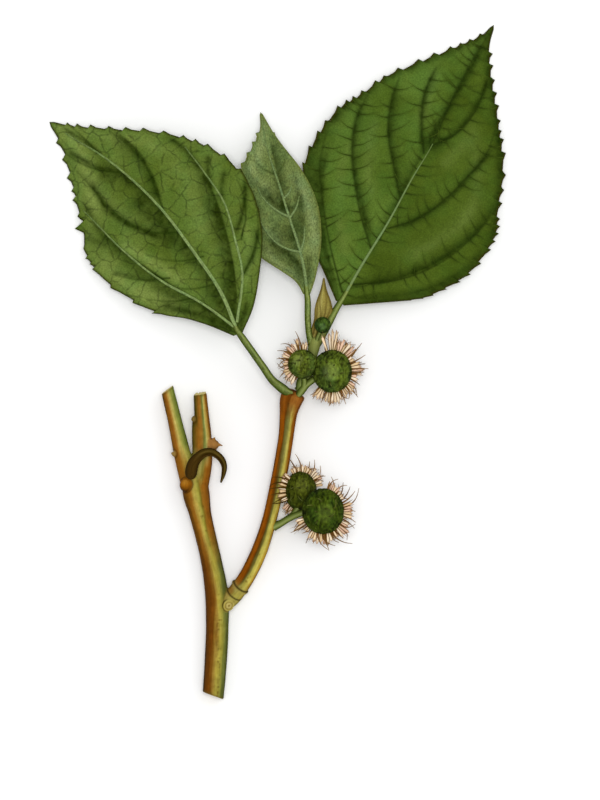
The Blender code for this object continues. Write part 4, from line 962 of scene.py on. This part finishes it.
def with_knobs(points, normals, tones):
    """Tones with the round knob, painted light on its upper left and painted shade on its far side, and the
    pointed knobs.
    """
    knob = np.linalg.norm(points - np.array(KNOB_CENTRE), axis=1) / np.mean(KNOB_RADII)
    on_knob = np.clip((1.12 - knob) / 0.08, 0, 1)
    # Painted light and shade on the knob, by how far each point faces up and to the upper left.
    lit = normals @ unit(np.array((-0.25, 0.45, 0.85)))
    knob_tones = banded([(0.2, 0.05, 0.018, 0.001), (0.6, 0.2, 0.07, 0.003), (0.85, 0.34, 0.125, 0.006),
                         (1.0, 0.46, 0.2, 0.02)], lit)
    tones = blend(tones, knob_tones, on_knob)
    tones = blend(tones, (0.045, 0.016, 0.001), 0.8 * np.exp(-((knob - 1.12) / 0.1) ** 2))
    for points_row in POINTED_KNOBS:
        gap = np.linalg.norm(points - np.array(points_row[1][:3]), axis=1)
        tones = blend(tones, (0.3, 0.2, 0.06), np.clip((1.5 - gap) / 0.6, 0, 0.8))
        tones = blend(tones, (0.08, 0.035, 0.003), 0.75 * np.exp(-((gap - 1.75) / 0.35) ** 2))
    return tones


def with_torn_scale(points, normals, tones):
    """Tones with the torn scale and its spurs, darker on their steep sides as painted shade."""
    torn_rows = TORN_SCALE[1:] + [row for spur in TORN_SPURS for row in spur]
    torn = np.min([np.linalg.norm(points - np.array(row[:3]), axis=1) - row[3] for row in torn_rows], axis=0)
    on_torn = np.clip((0.9 - torn) / 0.5, 0, 0.85)
    tones = blend(tones, (0.34, 0.165, 0.045), on_torn)
    # Painted shade where the scale's surface turns away from straight up.
    tones = blend(tones, (0.1, 0.04, 0.006), on_torn * np.clip((0.72 - normals[:, 2]) / 0.35, 0, 0.9))
    return tones


def with_scar(points, tones):
    """Tones with the rings of the leaf scar, and a dark crescent painted as shade on the left of its outer
    ring.
    """
    scar_axis = unit(np.array(SCAR_AXIS))
    offset = points - np.array(SCAR_CENTRE)
    rise = offset @ scar_axis
    ring = np.linalg.norm(offset - rise[:, None] * scar_axis, axis=1) / SCAR_SCALE
    near = (rise > 0.2) & (ring < 3.3)
    rings = banded([(0, 0.16, 0.1, 0.015), (0.35, 0.24, 0.16, 0.03), (0.75, 0.5, 0.42, 0.15),
                    (1.3, 0.46, 0.38, 0.12), (1.6, 0.16, 0.11, 0.015), (1.85, 0.3, 0.22, 0.04),
                    (2.2, 0.45, 0.37, 0.09), (2.6, 0.4, 0.33, 0.07), (2.9, 0.22, 0.16, 0.02),
                    (3.3, 0.3, 0.24, 0.04)], ring)
    tones = np.where(near[:, None], rings, tones)
    # Painted shade: a dark crescent on the left of the outer ring.
    arc = np.exp(-((ring - 2.85) / 0.26) ** 2) * np.clip((0.9 - offset[:, 0]) / 1.6, 0, 1) * near
    tones = blend(tones, (0.03, 0.02, 0.001), 0.95 * arc)
    return tones


def with_collars(points, tones, on_shoot):
    """Tones with the two collar rings of the side shoot; on_shoot says which points are its own."""
    collar_axis = unit(np.array(COLLAR_AXIS))
    for (centre, radius), mark in zip(COLLARS, (0.95, 0.5)):
        offset = points - np.array(centre)
        run = offset @ collar_axis
        out = np.linalg.norm(offset - run[:, None] * collar_axis, axis=1)
        here = (out > 2.0) & (out < radius + 0.8) & (np.abs(run) < 3.0) & on_shoot
        green = blend(tones, (0.36, 0.31, 0.08), 0.6 * np.exp(-(run / 1.4) ** 2))
        tones = np.where(here[:, None], green, tones)
        dark = 0.97 * np.exp(-((run - mark * 1.25) / 0.34) ** 2)
        tones = np.where(here[:, None], blend(tones, (0.022, 0.014, 0.001), dark), tones)
    return tones


def with_cut_faces(points, normals, tones):
    """Tones with the wood of the stem's cut and of the two pruned stubs."""
    for path, cut, index, face in ((MAIN_STEM, STEM_CUT, 0, (0.42, 0.3, 0.1)),
                                   (LEFT_STUB, LEFT_CUT, -1, (0.6, 0.5, 0.24)),
                                   (RIGHT_STUB, RIGHT_CUT, -1, (0.6, 0.52, 0.22))):
        cut = unit(np.array(cut))
        centre = np.array(path[index][:3])
        depth = (points - centre) @ cut
        close = np.linalg.norm(points - centre, axis=1) < 7
        flat = np.clip((normals @ cut - 0.75) / 0.15, 0, 1) * close * (depth > -1.0)
        radial = np.linalg.norm(points - centre, axis=1)
        wood = np.tile(face, (len(points), 1)) * (1 + 0.12 * np.sin(radial * 9))[:, None]
        tones = blend(tones, wood, flat)
        rim = np.exp(-((depth + 0.5) / 0.45) ** 2) * close * (radial > 2)
        tones = blend(tones, (0.1, 0.07, 0.012), 0.5 * rim)
    return tones


SPLINTERS = 26


def splinters():
    """Ragged ring of splinters round the cut of the right-hand stub."""
    rng = random.Random(7)
    made = []
    cut = unit(np.array(RIGHT_CUT))
    sideways = unit(np.cross(cut, (0, 0, 1)))
    above = np.cross(sideways, cut)
    for k in range(SPLINTERS):
        turn = 2 * math.pi * (k + rng.uniform(-0.3, 0.3)) / SPLINTERS
        out = 2.35 * rng.uniform(0.55, 1.0)
        foot = np.array(RIGHT_STUB[-1][:3]) + out * (math.cos(turn) * sideways + math.sin(turn) * above)
        long = rng.uniform(0.2, 0.7)
        rows = [(*(foot - cut * 0.8), 0.34), (*(foot + cut * long * 0.5), 0.26), (*(foot + cut * long), 0.06)]
        made.append(tube(rows, 4, 5, plain((0.56, 0.48, 0.2))))
    return made


def woody_branch(material):
    points, faces, normals = branch_lump()
    tones, grain, strongest = bark_tones(points)
    tones = tones * (1 + 0.12 * noise(points, 2.2, 41) + 0.08 * noise(points, 0.6, 40))[:, None]
    dots = np.clip((noise(grain, 0.75, 43) - 0.55) / 0.12, 0, 1) * np.exp(-((grain[:, 0] - 1.0) / 1.1) ** 2)
    tones = blend(tones, (0.12, 0.06, 0.006), 0.6 * dots * (points[:, 1] < -45))
    ridges = noise(grain * (1.0, 1.0, 0.12), 0.55, 42)
    points = points + normals * (0.06 * ridges)[:, None]
    tones = with_knobs(points, normals, tones)
    tones = with_torn_scale(points, normals, tones)
    tones = with_scar(points, tones)
    tones = with_collars(points, tones, strongest == len(BRANCHES) - 1)
    tones = with_cut_faces(points, normals, tones)
    points[:, 2] = np.maximum(points[:, 2], 0.0)
    skin = (points, faces, np.clip(tones, 0, 1), grain)
    place("woody_branch_fine", join([skin, *splinters()]), material, "woody_branch", sharp=60)


# Flower heads
def even_directions(count, turn=0.0):
    """Directions spread evenly over a sphere, as rows."""
    golden = math.pi * (3 - math.sqrt(5))
    k = np.arange(count)
    z = 1 - (2 * k + 1) / count
    flat = np.sqrt(1 - z * z)
    return np.column_stack([flat * np.cos(golden * k + turn), flat * np.sin(golden * k + turn), z])


def floret_ball(centre, radii, florets, detail, seed, light_at, bright, relief=1.0):
    """Core covered with small florets and streaks, with painted shade between the florets, painted light on
    top, a painted highlight round the direction light_at and painted shade low down.
    """
    verts, faces, _, _ = ball((0, 0, 0), (1, 1, 1), detail, (0, 0, 0))
    ways = unit(verts)
    peaks = even_directions(florets, turn=seed)
    jitter = np.random.default_rng(seed).normal(0, 0.5 / math.sqrt(florets), peaks.shape)
    peaks = unit(peaks + jitter)
    closeness = np.full(len(ways), -1.0)
    which = np.zeros(len(ways), int)
    for start in range(0, florets, 60):
        dots = ways @ peaks[start:start + 60].T
        best = dots.argmax(axis=1)
        value = dots[np.arange(len(ways)), best]
        closer = value > closeness
        closeness = np.where(closer, value, closeness)
        which = np.where(closer, start + best, which)
    spread = math.acos(1 - 2 / florets)
    angle = np.arccos(np.clip(closeness, -1, 1)) / spread
    bump = np.clip(1 - (angle / 1.1) ** 1.5, 0, 1)
    size = np.mean(radii)
    spots = ways * size
    turn = np.arctan2(ways[:, 1], ways[:, 0])
    fan = np.column_stack([turn * size / 0.55, spots[:, 2] / 3.2, 0 * turn])
    drift = np.column_stack([noise(spots, 3.5, seed + 5), noise(spots, 3.5, seed + 6), 0 * turn])
    swirl = (spots + 1.6 * drift) * (1.0, 0.28, 0.6)
    beside = np.clip(1.25 - np.abs(ways[:, 2]) * 1.2, 0, 1)
    on_top = np.clip(np.abs(ways[:, 2]) + 0.25, 0, 1)
    strokes = noise(fan, 1.0, seed + 4) * beside + noise(swirl, 0.5, seed + 7) * on_top
    scale = 0.98 + (0.15 * bump + 0.1 * strokes) * relief / size
    points = np.array(centre) + ways * np.array(radii) * scale[:, None]
    shade = np.random.default_rng(seed + 2).uniform(0.86, 1.14, florets)[which]
    # Darker in the hollows between florets: painted shade.
    tones = banded([(0, 0.042, 0.06, 0.005), (0.4, 0.06, 0.085, 0.008), (1, 0.078, 0.112, 0.014)], bump)
    tones = blend(tones, (0.03, 0.062, 0.012), 0.6 * np.clip(noise(spots, 3.6, seed + 9) * 1.6, 0, 1))
    blotches = 0.42 * noise(spots, 2.6, seed + 3) + 0.25 * noise(spots, 0.8, seed + 8)
    uneven = shade * (1 + blotches + 0.85 * strokes)
    tones = tones * np.clip(uneven, 0.25, 2)[:, None]
    lit = ways @ unit(np.array(light_at, float))
    # Painted light and shade: lighter towards the top, darker down the sides.
    tones = tones * (0.72 + 0.36 * np.clip(ways[:, 2], 0, 1))[:, None]
    # Painted highlight round the direction light_at.
    patch = np.clip((lit + 0.04 * noise(spots, 2.0, seed + 1) - 0.88) / 0.09, 0, 1)
    tones = blend(tones, tones * 1.1 + np.array((0.062, 0.078, 0.026)), patch * 0.85)
    # Painted shade on the lower side.
    rim = np.clip((0.4 - ways[:, 2]) / 0.4, 0, 1)
    tones = blend(tones, tones * 0.6, rim)
    points[:, 2] = np.maximum(points[:, 2], 0.0)
    return points, faces, np.clip(tones * np.array(bright), 0, 1), points.copy()


LOBE_CREAMS = ((0.86, 0.67, 0.43), (0.84, 0.57, 0.4), (0.74, 0.54, 0.3), (0.9, 0.75, 0.54))


def lobe(root, way, side, length, width, curl, rng):
    """Papery lobe, wider outward: cream or pinkish with brown edges and a ragged brown end."""
    columns = np.array((-1.0, -0.66, -0.25, 0.25, 0.66, 1.0))
    rows = 8
    up = np.cross(way, side)
    up = up if up[2] > 0 else -up
    ragged = [rng.uniform(-0.22, 0.14) * length for _ in columns]
    cream = np.array(rng.choice(LOBE_CREAMS))
    cream = cream * rng.uniform(0.88, 1.1)
    brown = np.array((0.22, 0.08, 0.02)) * rng.uniform(0.6, 1.5)
    layers = []
    tones = []
    for lift in (1, -1):
        for i in range(rows):
            t = i / (rows - 1)
            centre = root + way * length * t + up * curl * length * t * t
            half = width * (0.6 + 0.62 * t - 0.2 * t ** 3)
            for k, column in enumerate(columns):
                belly = 0.16 * (1 - column ** 2) * math.sin(math.pi * min(1.0, t + 0.15))
                point = centre + side * half * column + up * (0.09 * lift + belly)
                if i >= rows - 2:
                    reach = ragged[k] - 0.09 * length * abs(column)
                    point = point + way * reach * (1.0 if i == rows - 1 else 0.4)
                layers.append(point)
                edge = 0.75 + 0.25 * t if abs(column) == 1 else 0.06
                edge = max(edge, 0.9 if i == rows - 1 else 0.3 if i == rows - 2 else 0.0)
                tones.append(blend(blend(cream, (0.3, 0.3, 0.09), max(0, 0.3 - t) * 2), brown, edge))
    wide = len(columns)
    total = rows * wide
    faces = grid_faces(rows, wide) + grid_faces(rows, wide, start=total)
    loop = list(range(wide)) + [i * wide + wide - 1 for i in range(1, rows)]
    loop += [(rows - 1) * wide + k for k in range(wide - 2, -1, -1)]
    loop += [i * wide for i in range(rows - 2, 0, -1)]
    for a, b in zip(loop, loop[1:] + loop[:1]):
        faces.append((a, b, b + total, a + total))
    points = np.array(layers)
    return points, faces, np.array(tones), points.copy()


def free_of(points, obstacles):
    """Whether all points keep clear of the floor and of rows of (x, y, z, clearance)."""
    for rows in obstacles:
        distances = np.linalg.norm(points[:, None] - rows[None, :, :3], axis=2) - rows[None, :, 3]
        if distances.min() < 0:
            return False
    return points[:, 2].min() > 0.3


def style(foot, way, length, bend, rng, colours, thick=1.0):
    """Thread-like style that bends sideways and may hook at its tip; colours are its root's and tip's."""
    side = np.cross((0.0, 0.0, 1.0), way)
    side = side if np.linalg.norm(side) > 0.1 else np.cross((1.0, 0.3, 0.0), way)
    side = unit(side + np.array((0.0, 0.0, rng.uniform(-0.3, 0.3))))
    hook = rng.uniform(0.15, 0.5) * math.copysign(1, bend) if rng.random() < 0.4 else 0.0
    rows = []
    for k, radius in enumerate((0.4, 0.37, 0.32, 0.25, 0.18, 0.1)):
        t = k / 5
        forward = t * (1 - 0.2 * abs(hook) * t * t)
        point = foot + way * length * forward + side * length * (bend * t * t + hook * t ** 5)
        rows.append((*point, radius * thick))
    bright = rng.uniform(0.7, 1.3)

    def tone(across, share):
        return blend(colours[0], colours[1], share ** 1.3) * bright

    return tube(rows, 12, 6, tone)


BROWN_STYLE = ((0.145, 0.06, 0.01), (0.22, 0.125, 0.038))
DARK_STYLE = ((0.05, 0.025, 0.002), (0.07, 0.035, 0.003))
GREEN_STYLE = ((0.05, 0.06, 0.006), (0.1, 0.115, 0.025))

# Fringe of each head as it shows from above.  fans: direction in degrees, lobes, length in mm, rise
# in radians.  threads: direction, length and sideways bend of single styles.  light: direction of the
# core's painted highlight.  bright: tint of the core.
FRINGES = {
    "fruit_head_upper_front": {
        "fans": [(95, 5, 8.4, 0.1), (77, 2, 4.0, 0.0), (65, 4, 5.6, 0.1), (50, 4, 5.4, 0.0),
                 (30, 2, 2.6, 0.1), (13, 2, 4.0, 0.1), (2, 3, 5.0, 0.0), (-14, 2, 3.4, 0.0),
                 (-36, 3, 4.0, 0.1), (-54, 3, 4.0, 0.0), (-80, 4, 5.2, 0.1), (-97, 3, 5.0, 0.0),
                 (-121, 3, 4.8, 0.1)],
        "threads": [(38, 9.0, 0.15), (34, 6.5, 0.3), (22, 7.5, 0.12), (15, 6.4, -0.1), (7, 7.4, -0.12),
                    (-4, 5.6, 0.1), (-21, 5.0, -0.2), (-31, 6.4, -0.25), (-41, 7.2, -0.1), (-45, 5.0, 0.3),
                    (-64, 6.6, -0.1), (-69, 5.0, 0.2), (-108, 5.6, -0.1), (-114, 4.6, 0.2), (56, 5.6, 0.4),
                    (70, 5.4, -0.5), (-129, 5.4, -0.2)],
        "light": (-0.06, 0.0, 1), "bright": (1.04, 1.04, 0.98)},
    "fruit_head_upper_rear": {
        "fans": [(84, 2, 3.4, 0.1), (112, 3, 4.4, 0.0), (128, 2, 3.4, 0.1), (149, 3, 3.6, 0.0),
                 (176, 2, 2.4, 0.1), (190, 2, 2.6, 0.0), (212, 3, 3.4, 0.1), (232, 3, 3.8, 0.0)],
        "threads": [(94, 8.0, 0.25), (103, 5.4, -0.1), (122, 6.6, 0.1), (138, 5.8, 0.5), (141, 4.4, -0.3),
                    (161, 5.2, 0.3), (170, 4.6, -0.2), (184, 4.4, 0.3), (200, 5.2, 0.4), (222, 5.0, 0.3)],
        "light": (-0.35, 0.3, 1), "bright": (1.24, 1.14, 1.1)},
    "fruit_head_lower_front": {
        "fans": [(72, 2, 3.2, 0.0), (60, 3, 3.4, 0.1), (46, 3, 2.4, 0.0), (36, 2, 2.2, 0.1), (8, 3, 4.2, 0.0),
                 (-4, 3, 4.2, 0.1), (-31, 3, 4.2, 0.0), (-44, 3, 5.4, 0.1), (-60, 3, 3.6, 0.0),
                 (-76, 2, 4.4, 0.1), (-98, 4, 4.4, 0.0), (-115, 3, 4.2, 0.1), (-133, 2, 2.2, 0.0),
                 (202, 2, 3.4, 0.1), (212, 1, 6.4, -0.1)],
        "threads": [(76, 6.0, -0.2), (64, 5.8, 0.35), (55, 6.2, -0.1), (40, 5.6, 0.6), (29, 6.4, 0.5),
                    (22, 7.2, 0.35), (10, 8.6, 0.45), (-12, 6.0, -0.25), (-20, 6.4, -0.3), (-36, 7.0, -0.2),
                    (-56, 5.4, 0.2), (-66, 8.6, 0.5), (-72, 5.8, 0.2), (-84, 7.6, 0.1), (-92, 5.8, 0.5),
                    (-104, 6.4, 0.6), (-122, 6.4, 0.1), (-128, 4.0, -0.4), (206, 6.6, 0.3), (198, 5.2, 0.5)],
        "light": (0.12, -0.1, 1), "bright": (0.58, 0.63, 0.36)},
    "fruit_head_lower_rear": {
        "fans": [(112, 2, 2.6, 0.1), (96, 3, 2.6, 0.0), (76, 3, 3.2, 0.1), (60, 3, 3.2, 0.0),
                 (44, 3, 4.2, 0.1), (22, 3, 3.6, 0.0), (136, 1, 3.4, 0.3), (149, 2, 3.8, 0.28),
                 (163, 1, 3.6, 0.3), (177, 2, 3.8, 0.28), (191, 1, 3.6, 0.3), (204, 2, 3.4, 0.28),
                 (222, 3, 3.8, 0.0), (238, 2, 4.0, 0.0)],
        "threads": [(104, 8.4, 0.3), (86, 7.6, 0.4), (66, 5.4, 0.2), (50, 6.6, 0.5), (38, 5.2, -0.4),
                    (30, 6.0, 0.5), (128, 4.6, 0.6), (143, 6.6, 0.4), (156, 7.0, 0.3), (170, 7.2, 0.2),
                    (184, 7.0, 0.1), (198, 6.6, 0.15), (211, 7.0, -0.3), (230, 4.6, 0.2)],
        "light": (0.1, 0.35, 1), "bright": (0.63, 0.55, 0.34)}}


RAISED_ROOT = 0.42          # radians
LEANING_TURNS = (130, 215)  # degrees
FLORETS = 300
SHORT_STYLES = 70           # directions tried for the short styles on top and below


def raised_root(name, turn, foot):
    """Elevation of a root: higher on the side where the lower rear head leans over the side shoot."""
    if name == "fruit_head_lower_rear" and LEANING_TURNS[0] < turn < LEANING_TURNS[1]:
        return RAISED_ROOT
    return foot


def flower_head(name, obstacles, wall, materials):
    """Core, lobes and styles of one head; wall is where it presses on its neighbour: point, direction."""
    centre, radii, seed = HEADS[name]
    centre = np.array(centre)
    radii = np.array(radii)
    plan = FRINGES[name]
    rng = random.Random(seed)
    points, faces, tones, grains = floret_ball(centre, radii, FLORETS, 6, seed, plan["light"], plan["bright"])
    beyond = np.maximum((points - wall[0]) @ wall[1], 0)
    core = (points - beyond[:, None] * wall[1], faces, tones, grains)
    fringe = []
    styles = []

    def heading(turn, rise):
        turn = math.radians(turn)
        return np.array((math.cos(turn) * math.cos(rise), math.sin(turn) * math.cos(rise), math.sin(rise)))

    def add_fan(turn, lobes, long, rise, foot):
        width = rng.uniform(0.5, 0.62)
        root_step = math.degrees(1.15 * width / radii[0])
        tip_step = root_step + math.degrees(0.85 * width / long)
        for k in range(lobes):
            place_in_fan = k - (lobes - 1) / 2
            way = heading(turn + place_in_fan * tip_step, rise + rng.uniform(-0.05, 0.05))
            root = centre + heading(turn + place_in_fan * root_step, foot) * radii * 0.93
            side = unit(np.cross((0.0, 0.0, 1.0), way))
            length = long * rng.uniform(0.85, 1.08)
            sample = root + np.outer((0.6, 1.0), way * length)
            if free_of(sample, obstacles):
                fringe.append(lobe(root, way, side, length, width, rng.uniform(-0.12, 0.04), rng))
        for k in range(lobes + 1):
            at = k - lobes / 2
            way = heading(turn + at * tip_step, rise + 0.04)
            root = centre + heading(turn + at * root_step, foot) * radii * 0.93 + (0, 0, 0.15)
            length = long * rng.uniform(0.85, 1.2)
            bend = rng.uniform(-0.12, 0.12)
            if way @ wall[1] < 0.55 and free_of(root + np.outer((0.6, 1.0), way * length), obstacles):
                styles.append(style(root, way, length, bend, rng, BROWN_STYLE, thick=0.42))

    def add_style(way, foot, length, bend, colours=BROWN_STYLE):
        root = centre + foot * radii * 0.9
        while length > 2:
            sample = root + np.outer((0.5, 0.75, 1.0), way * length)
            if free_of(sample, obstacles):
                styles.append(style(root, way, length, bend, rng, colours))
                return
            length *= 0.75

    for turn, lobes, long, rise in plan["fans"]:
        add_fan(turn, lobes, long, rise, raised_root(name, turn, rise))
        add_fan(turn + rng.uniform(-5, 5), lobes, long * 0.9, -0.45, -0.5)
        add_fan(turn + rng.uniform(-8, 8), max(2, lobes - 1), long * 0.75, -0.9, -1.0)
        edge = rng.choice((-1, 1)) * (lobes / 2 + 0.2) * 5
        foot = raised_root(name, turn, 0.05)
        add_style(heading(turn + edge, 0.1), heading(turn + edge, foot), long + rng.uniform(0.2, 1.4),
                  rng.choice((-1, 1)) * rng.uniform(0.05, 0.3))
    for turn, long, bend in plan["threads"]:
        foot = raised_root(name, turn, 0.0)
        rise = 0.3 if foot else rng.uniform(-0.05, 0.15)
        add_style(heading(turn, rise), heading(turn, foot), long, bend, DARK_STYLE if foot else BROWN_STYLE)
    for way in even_directions(SHORT_STYLES, turn=seed + 0.4):
        if way[2] > 0.8:
            add_style(way, way, rng.uniform(2.6, 4.4), rng.uniform(-0.5, 0.5), GREEN_STYLE)
        elif way[2] < -0.3 and way @ wall[1] < 0.15:
            add_style(way, way, rng.uniform(2.5, 5.5), rng.uniform(-0.4, 0.4))
    place(name + "_core", core, materials["core"], name)
    place(name + "_fringe", join(fringe), materials["fringe"], name, sharp=35)
    place(name + "_styles", join(styles), materials["style"], name)


def dividing_wall(name):
    """Point and direction of the flat contact between a head and the other head of its pair."""
    other = {"front": "rear", "rear": "front"}[name.split("_")[-1]]
    partner = name.rsplit("_", 1)[0] + "_" + other
    centre, radii = np.array(HEADS[name][:2])
    partner_centre, partner_radii = np.array(HEADS[partner][:2])
    way = unit(partner_centre - centre)
    gap = np.linalg.norm(partner_centre - centre)
    radius = 1 / np.linalg.norm(way / radii)
    partner_radius = 1 / np.linalg.norm(way / partner_radii)
    at = (gap ** 2 + radius ** 2 - partner_radius ** 2) / (2 * gap)
    return centre + way * at, way


def add_leaves():
    """The three leaves with their petioles; gives the grids of the leaves' upper faces."""
    skin = painted("leaf_left", 0.7, (1.7, 1.7, 1.7), 0.28, 0.1, patch=(0.92, 1.0, 1.0), patch_size=7.0,
                   net=0.42)
    felt = painted("leaf_middle", 0.85, (2.1, 1.3, 1.5), 0.5, 0.15, patch=(0.9, 0.98, 1.05), patch_size=5.0,
                   specular=0.015)
    deep = painted("leaf_right", 0.7, (1.8, 1.8, 1.8), 0.26, 0.1, patch=(0.92, 1.0, 1.05), patch_size=9.0)
    return [stalked_leaf("left_leaf", LEFT_PETIOLE, skin, 286, 96, 1.25),
            stalked_leaf("middle_leaf", MIDDLE_PETIOLE, felt, 180, 45, 1.2),
            stalked_leaf("right_leaf", RIGHT_PETIOLE, deep, 286, 99, TOOTH_DEPTH,
                         lines=(5.0, (4.6, 9.6), 5))]


def add_bark():
    bark = painted("bark", 0.7, (2.2, 2.2, 0.16), 0.16, 0.12, patch=(0.92, 0.9, 0.8), patch_size=2.5)
    woody_branch(bark)


def shoot_tone(across, share):
    return blend(green_tone(across, share), (0.3, 0.32, 0.08), 0.5 * np.clip((share - 0.5) * 3, 0, 1))


def add_green_stems():
    """The green shoot with its bract, and the forked stalks of the flower heads."""
    stem = painted("green_stem", 0.6, (2.5, 2.5, 0.2), 0.14, 0.06)
    shoot = join([tube(GREEN_SHOOT, 40, 20, shoot_tone), tube(BRACT, 14, 12, green_tone)])
    place("green_shoot_fine", shoot, stem, "green_shoot")
    for name, branches in PEDUNCLES.items():
        parts = [tube(rows, 20, 16, green_tone) for rows in branches]
        place(name + "_fine", join(parts), stem, name)


STIPULE_LOOK = {
    "light": (0.33, 0.285, 0.075), "mid": (0.22, 0.185, 0.032), "dark": (0.09, 0.065, 0.006),
    "line": (0.085, 0.05, 0.005), "margin": (0.09, 0.06, 0.006), "under": (0.2, 0.16, 0.035),
    "band": (0.1, 1.0), "tints": ((1.15, 1.15, 1.2), (0.85, 0.82, 0.7)), "shades": [], "painted_light_strokes": [],
    "furrows": [[(15.4, 10.0), (17.4, 18.0), (17.0, 24.0), (17.8, 31.0)],
                [(14.4, 11.0), (15.8, 18.4), (16.2, 24.0), (17.4, 29.0)],
                [(16.4, 12.0), (18.8, 18.0), (19.6, 23.5), (19.0, 31.0)],
                [(17.6, 14.0), (20.2, 18.4), (21.4, 23.0), (20.0, 27.0)]]}


def add_stipule():
    papery = painted("stipule", 0.75, (2.0, 2.0, 0.15), 0.25, 0.08)
    scale, _ = blade(STIPULE, STIPULE_LOOK, 91, 24)
    place("stipule_fine", scale, papery, "stipule")


# Near its start the withered stalk is dark brown and darker at both sides as painted shade; further on, its
# bands add two lighter streaks as painted highlights between dark sides.
def withered_tone(across, share):
    bands = [(-1, 0.02, 0.01, 0.001), (-0.6, 0.045, 0.027, 0.002), (-0.15, 0.1, 0.066, 0.012),
             (0.1, 0.045, 0.028, 0.002), (0.4, 0.02, 0.009, 0.0005), (0.62, 0.03, 0.014, 0.001),
             (0.82, 0.08, 0.045, 0.006), (1, 0.02, 0.01, 0.001)]
    thick = banded([(-1, 0.025, 0.014, 0.001), (-0.5, 0.046, 0.023, 0.003), (0.5, 0.052, 0.027, 0.003),
                    (1, 0.022, 0.011, 0.001)], across)
    return blend(thick, banded(bands, across), (share - 0.22) / 0.2)


def add_withered_stalk():
    dry = painted("withered", 0.8, (3.0, 3.0, 0.15), 0.3, 0.12)
    stalk = tube(WITHERED_STALK, 90, 28, withered_tone)
    place("withered_stalk_fine", stalk, dry, "withered_stalk")


def head_obstacles(grids):
    """Rows of (x, y, z, clearance) that lobes and styles keep out of: stems, leaves and the bud."""
    stems = [SIDE_SHOOT, GREEN_SHOOT, LEFT_PETIOLE, MIDDLE_PETIOLE, RIGHT_PETIOLE]
    for branches in PEDUNCLES.values():
        stems += branches
    obstacles = []
    for stem in stems:
        rows = along(stem, np.linspace(0, 1, 60))
        obstacles.append(np.column_stack([rows[:, :3], rows[:, 3] + 0.3]))
    for grid in grids:
        coarse = grid[::8, ::8].reshape(-1, 3)
        obstacles.append(np.column_stack([coarse, np.full(len(coarse), 0.7)]))
    obstacles.append(np.array([(*BUD_CENTRE, BUD_RADIUS + 0.4)]))
    return obstacles


def add_flower_heads(obstacles):
    """The four heads and the unopened one."""
    materials = {"core": painted("floret", 0.75, (2.0, 2.0, 2.0), 0.25, 0.1),
                 "fringe": painted("fringe", 0.7, (2.5, 2.5, 2.5), 0.12, 0.05),
                 "style": painted("style", 0.7, (3.0, 3.0, 3.0), 0.1, 0.03)}
    for name in HEADS:
        others = []
        for other, (centre, radii, _) in HEADS.items():
            if other != name:
                others.append(np.array([(*centre, max(radii) + 0.3)]))
        flower_head(name, obstacles + others, dividing_wall(name), materials)
    points, faces, tones, grains = floret_ball(np.array(BUD_CENTRE), np.full(3, BUD_RADIUS), 60, 5, 15,
                                               (0.0, -0.2, 1), 0.8, relief=0.3)
    bud = join([(points, faces, tones * BUD_TINT, grains), tube(BUD_STALK, 14, 12, green_tone)])
    place("bud_head_fine", bud, materials["core"], "bud_head")


def build():
    grids = add_leaves()
    add_bark()
    add_green_stems()
    add_stipule()
    add_withered_stalk()
    add_flower_heads(head_obstacles(grids))


# Stage: pale floor, soft light and a camera that looks straight down
IMAGE_HEIGHT = 800                       # pixels
IMAGE_CENTRE = (8.99 * MM, -14.93 * MM)  # where the middle of the image falls
LENS = 500.0
SENSOR = 36.0


def stage():
    bpy.ops.mesh.primitive_plane_add(size=6.0, location=(0, 0, -0.0001))
    floor = bpy.context.object
    floor.name = "floor"
    paper = bpy.data.materials.new("floor")
    paper.use_nodes = True
    shader = paper.node_tree.nodes["Principled BSDF"]
    shader.inputs["Base Color"].default_value = (0.97, 0.97, 0.965, 1)
    shader.inputs["Roughness"].default_value = 0.95
    shader.inputs["Specular IOR Level"].default_value = 0.0
    floor.data.materials.append(paper)

    world = bpy.data.worlds.new("world")
    world.use_nodes = True
    world.node_tree.nodes["Background"].inputs["Color"].default_value = (1, 1, 1, 1)
    world.node_tree.nodes["Background"].inputs["Strength"].default_value = 0.55
    bpy.context.scene.world = world

    def area(name, location, size, power):
        light = bpy.data.lights.new(name, "AREA")
        light.size = size
        light.energy = power
        lamp = bpy.data.objects.new(name, light)
        lamp.location = location
        lamp.rotation_euler = (-Vector(location)).to_track_quat("-Z", "Y").to_euler()
        bpy.context.scene.collection.objects.link(lamp)

    area("overhead", (0.1, 0.1, 5.0), 1.9, 127.0)
    area("side", (2.4, 1.8, 4.1), 3.5, 36.0)

    camera = bpy.data.cameras.new("camera")
    camera.lens = LENS
    camera.sensor_width = SENSOR
    camera.clip_end = 50.0
    eye = bpy.data.objects.new("camera", camera)
    distance = IMAGE_HEIGHT * PIXEL * MM * LENS / SENSOR
    eye.location = (*IMAGE_CENTRE, 0.010 + distance)
    bpy.context.scene.collection.objects.link(eye)
    bpy.context.scene.camera = eye
    bpy.context.scene.view_settings.view_transform = "Standard"


build()
stage()
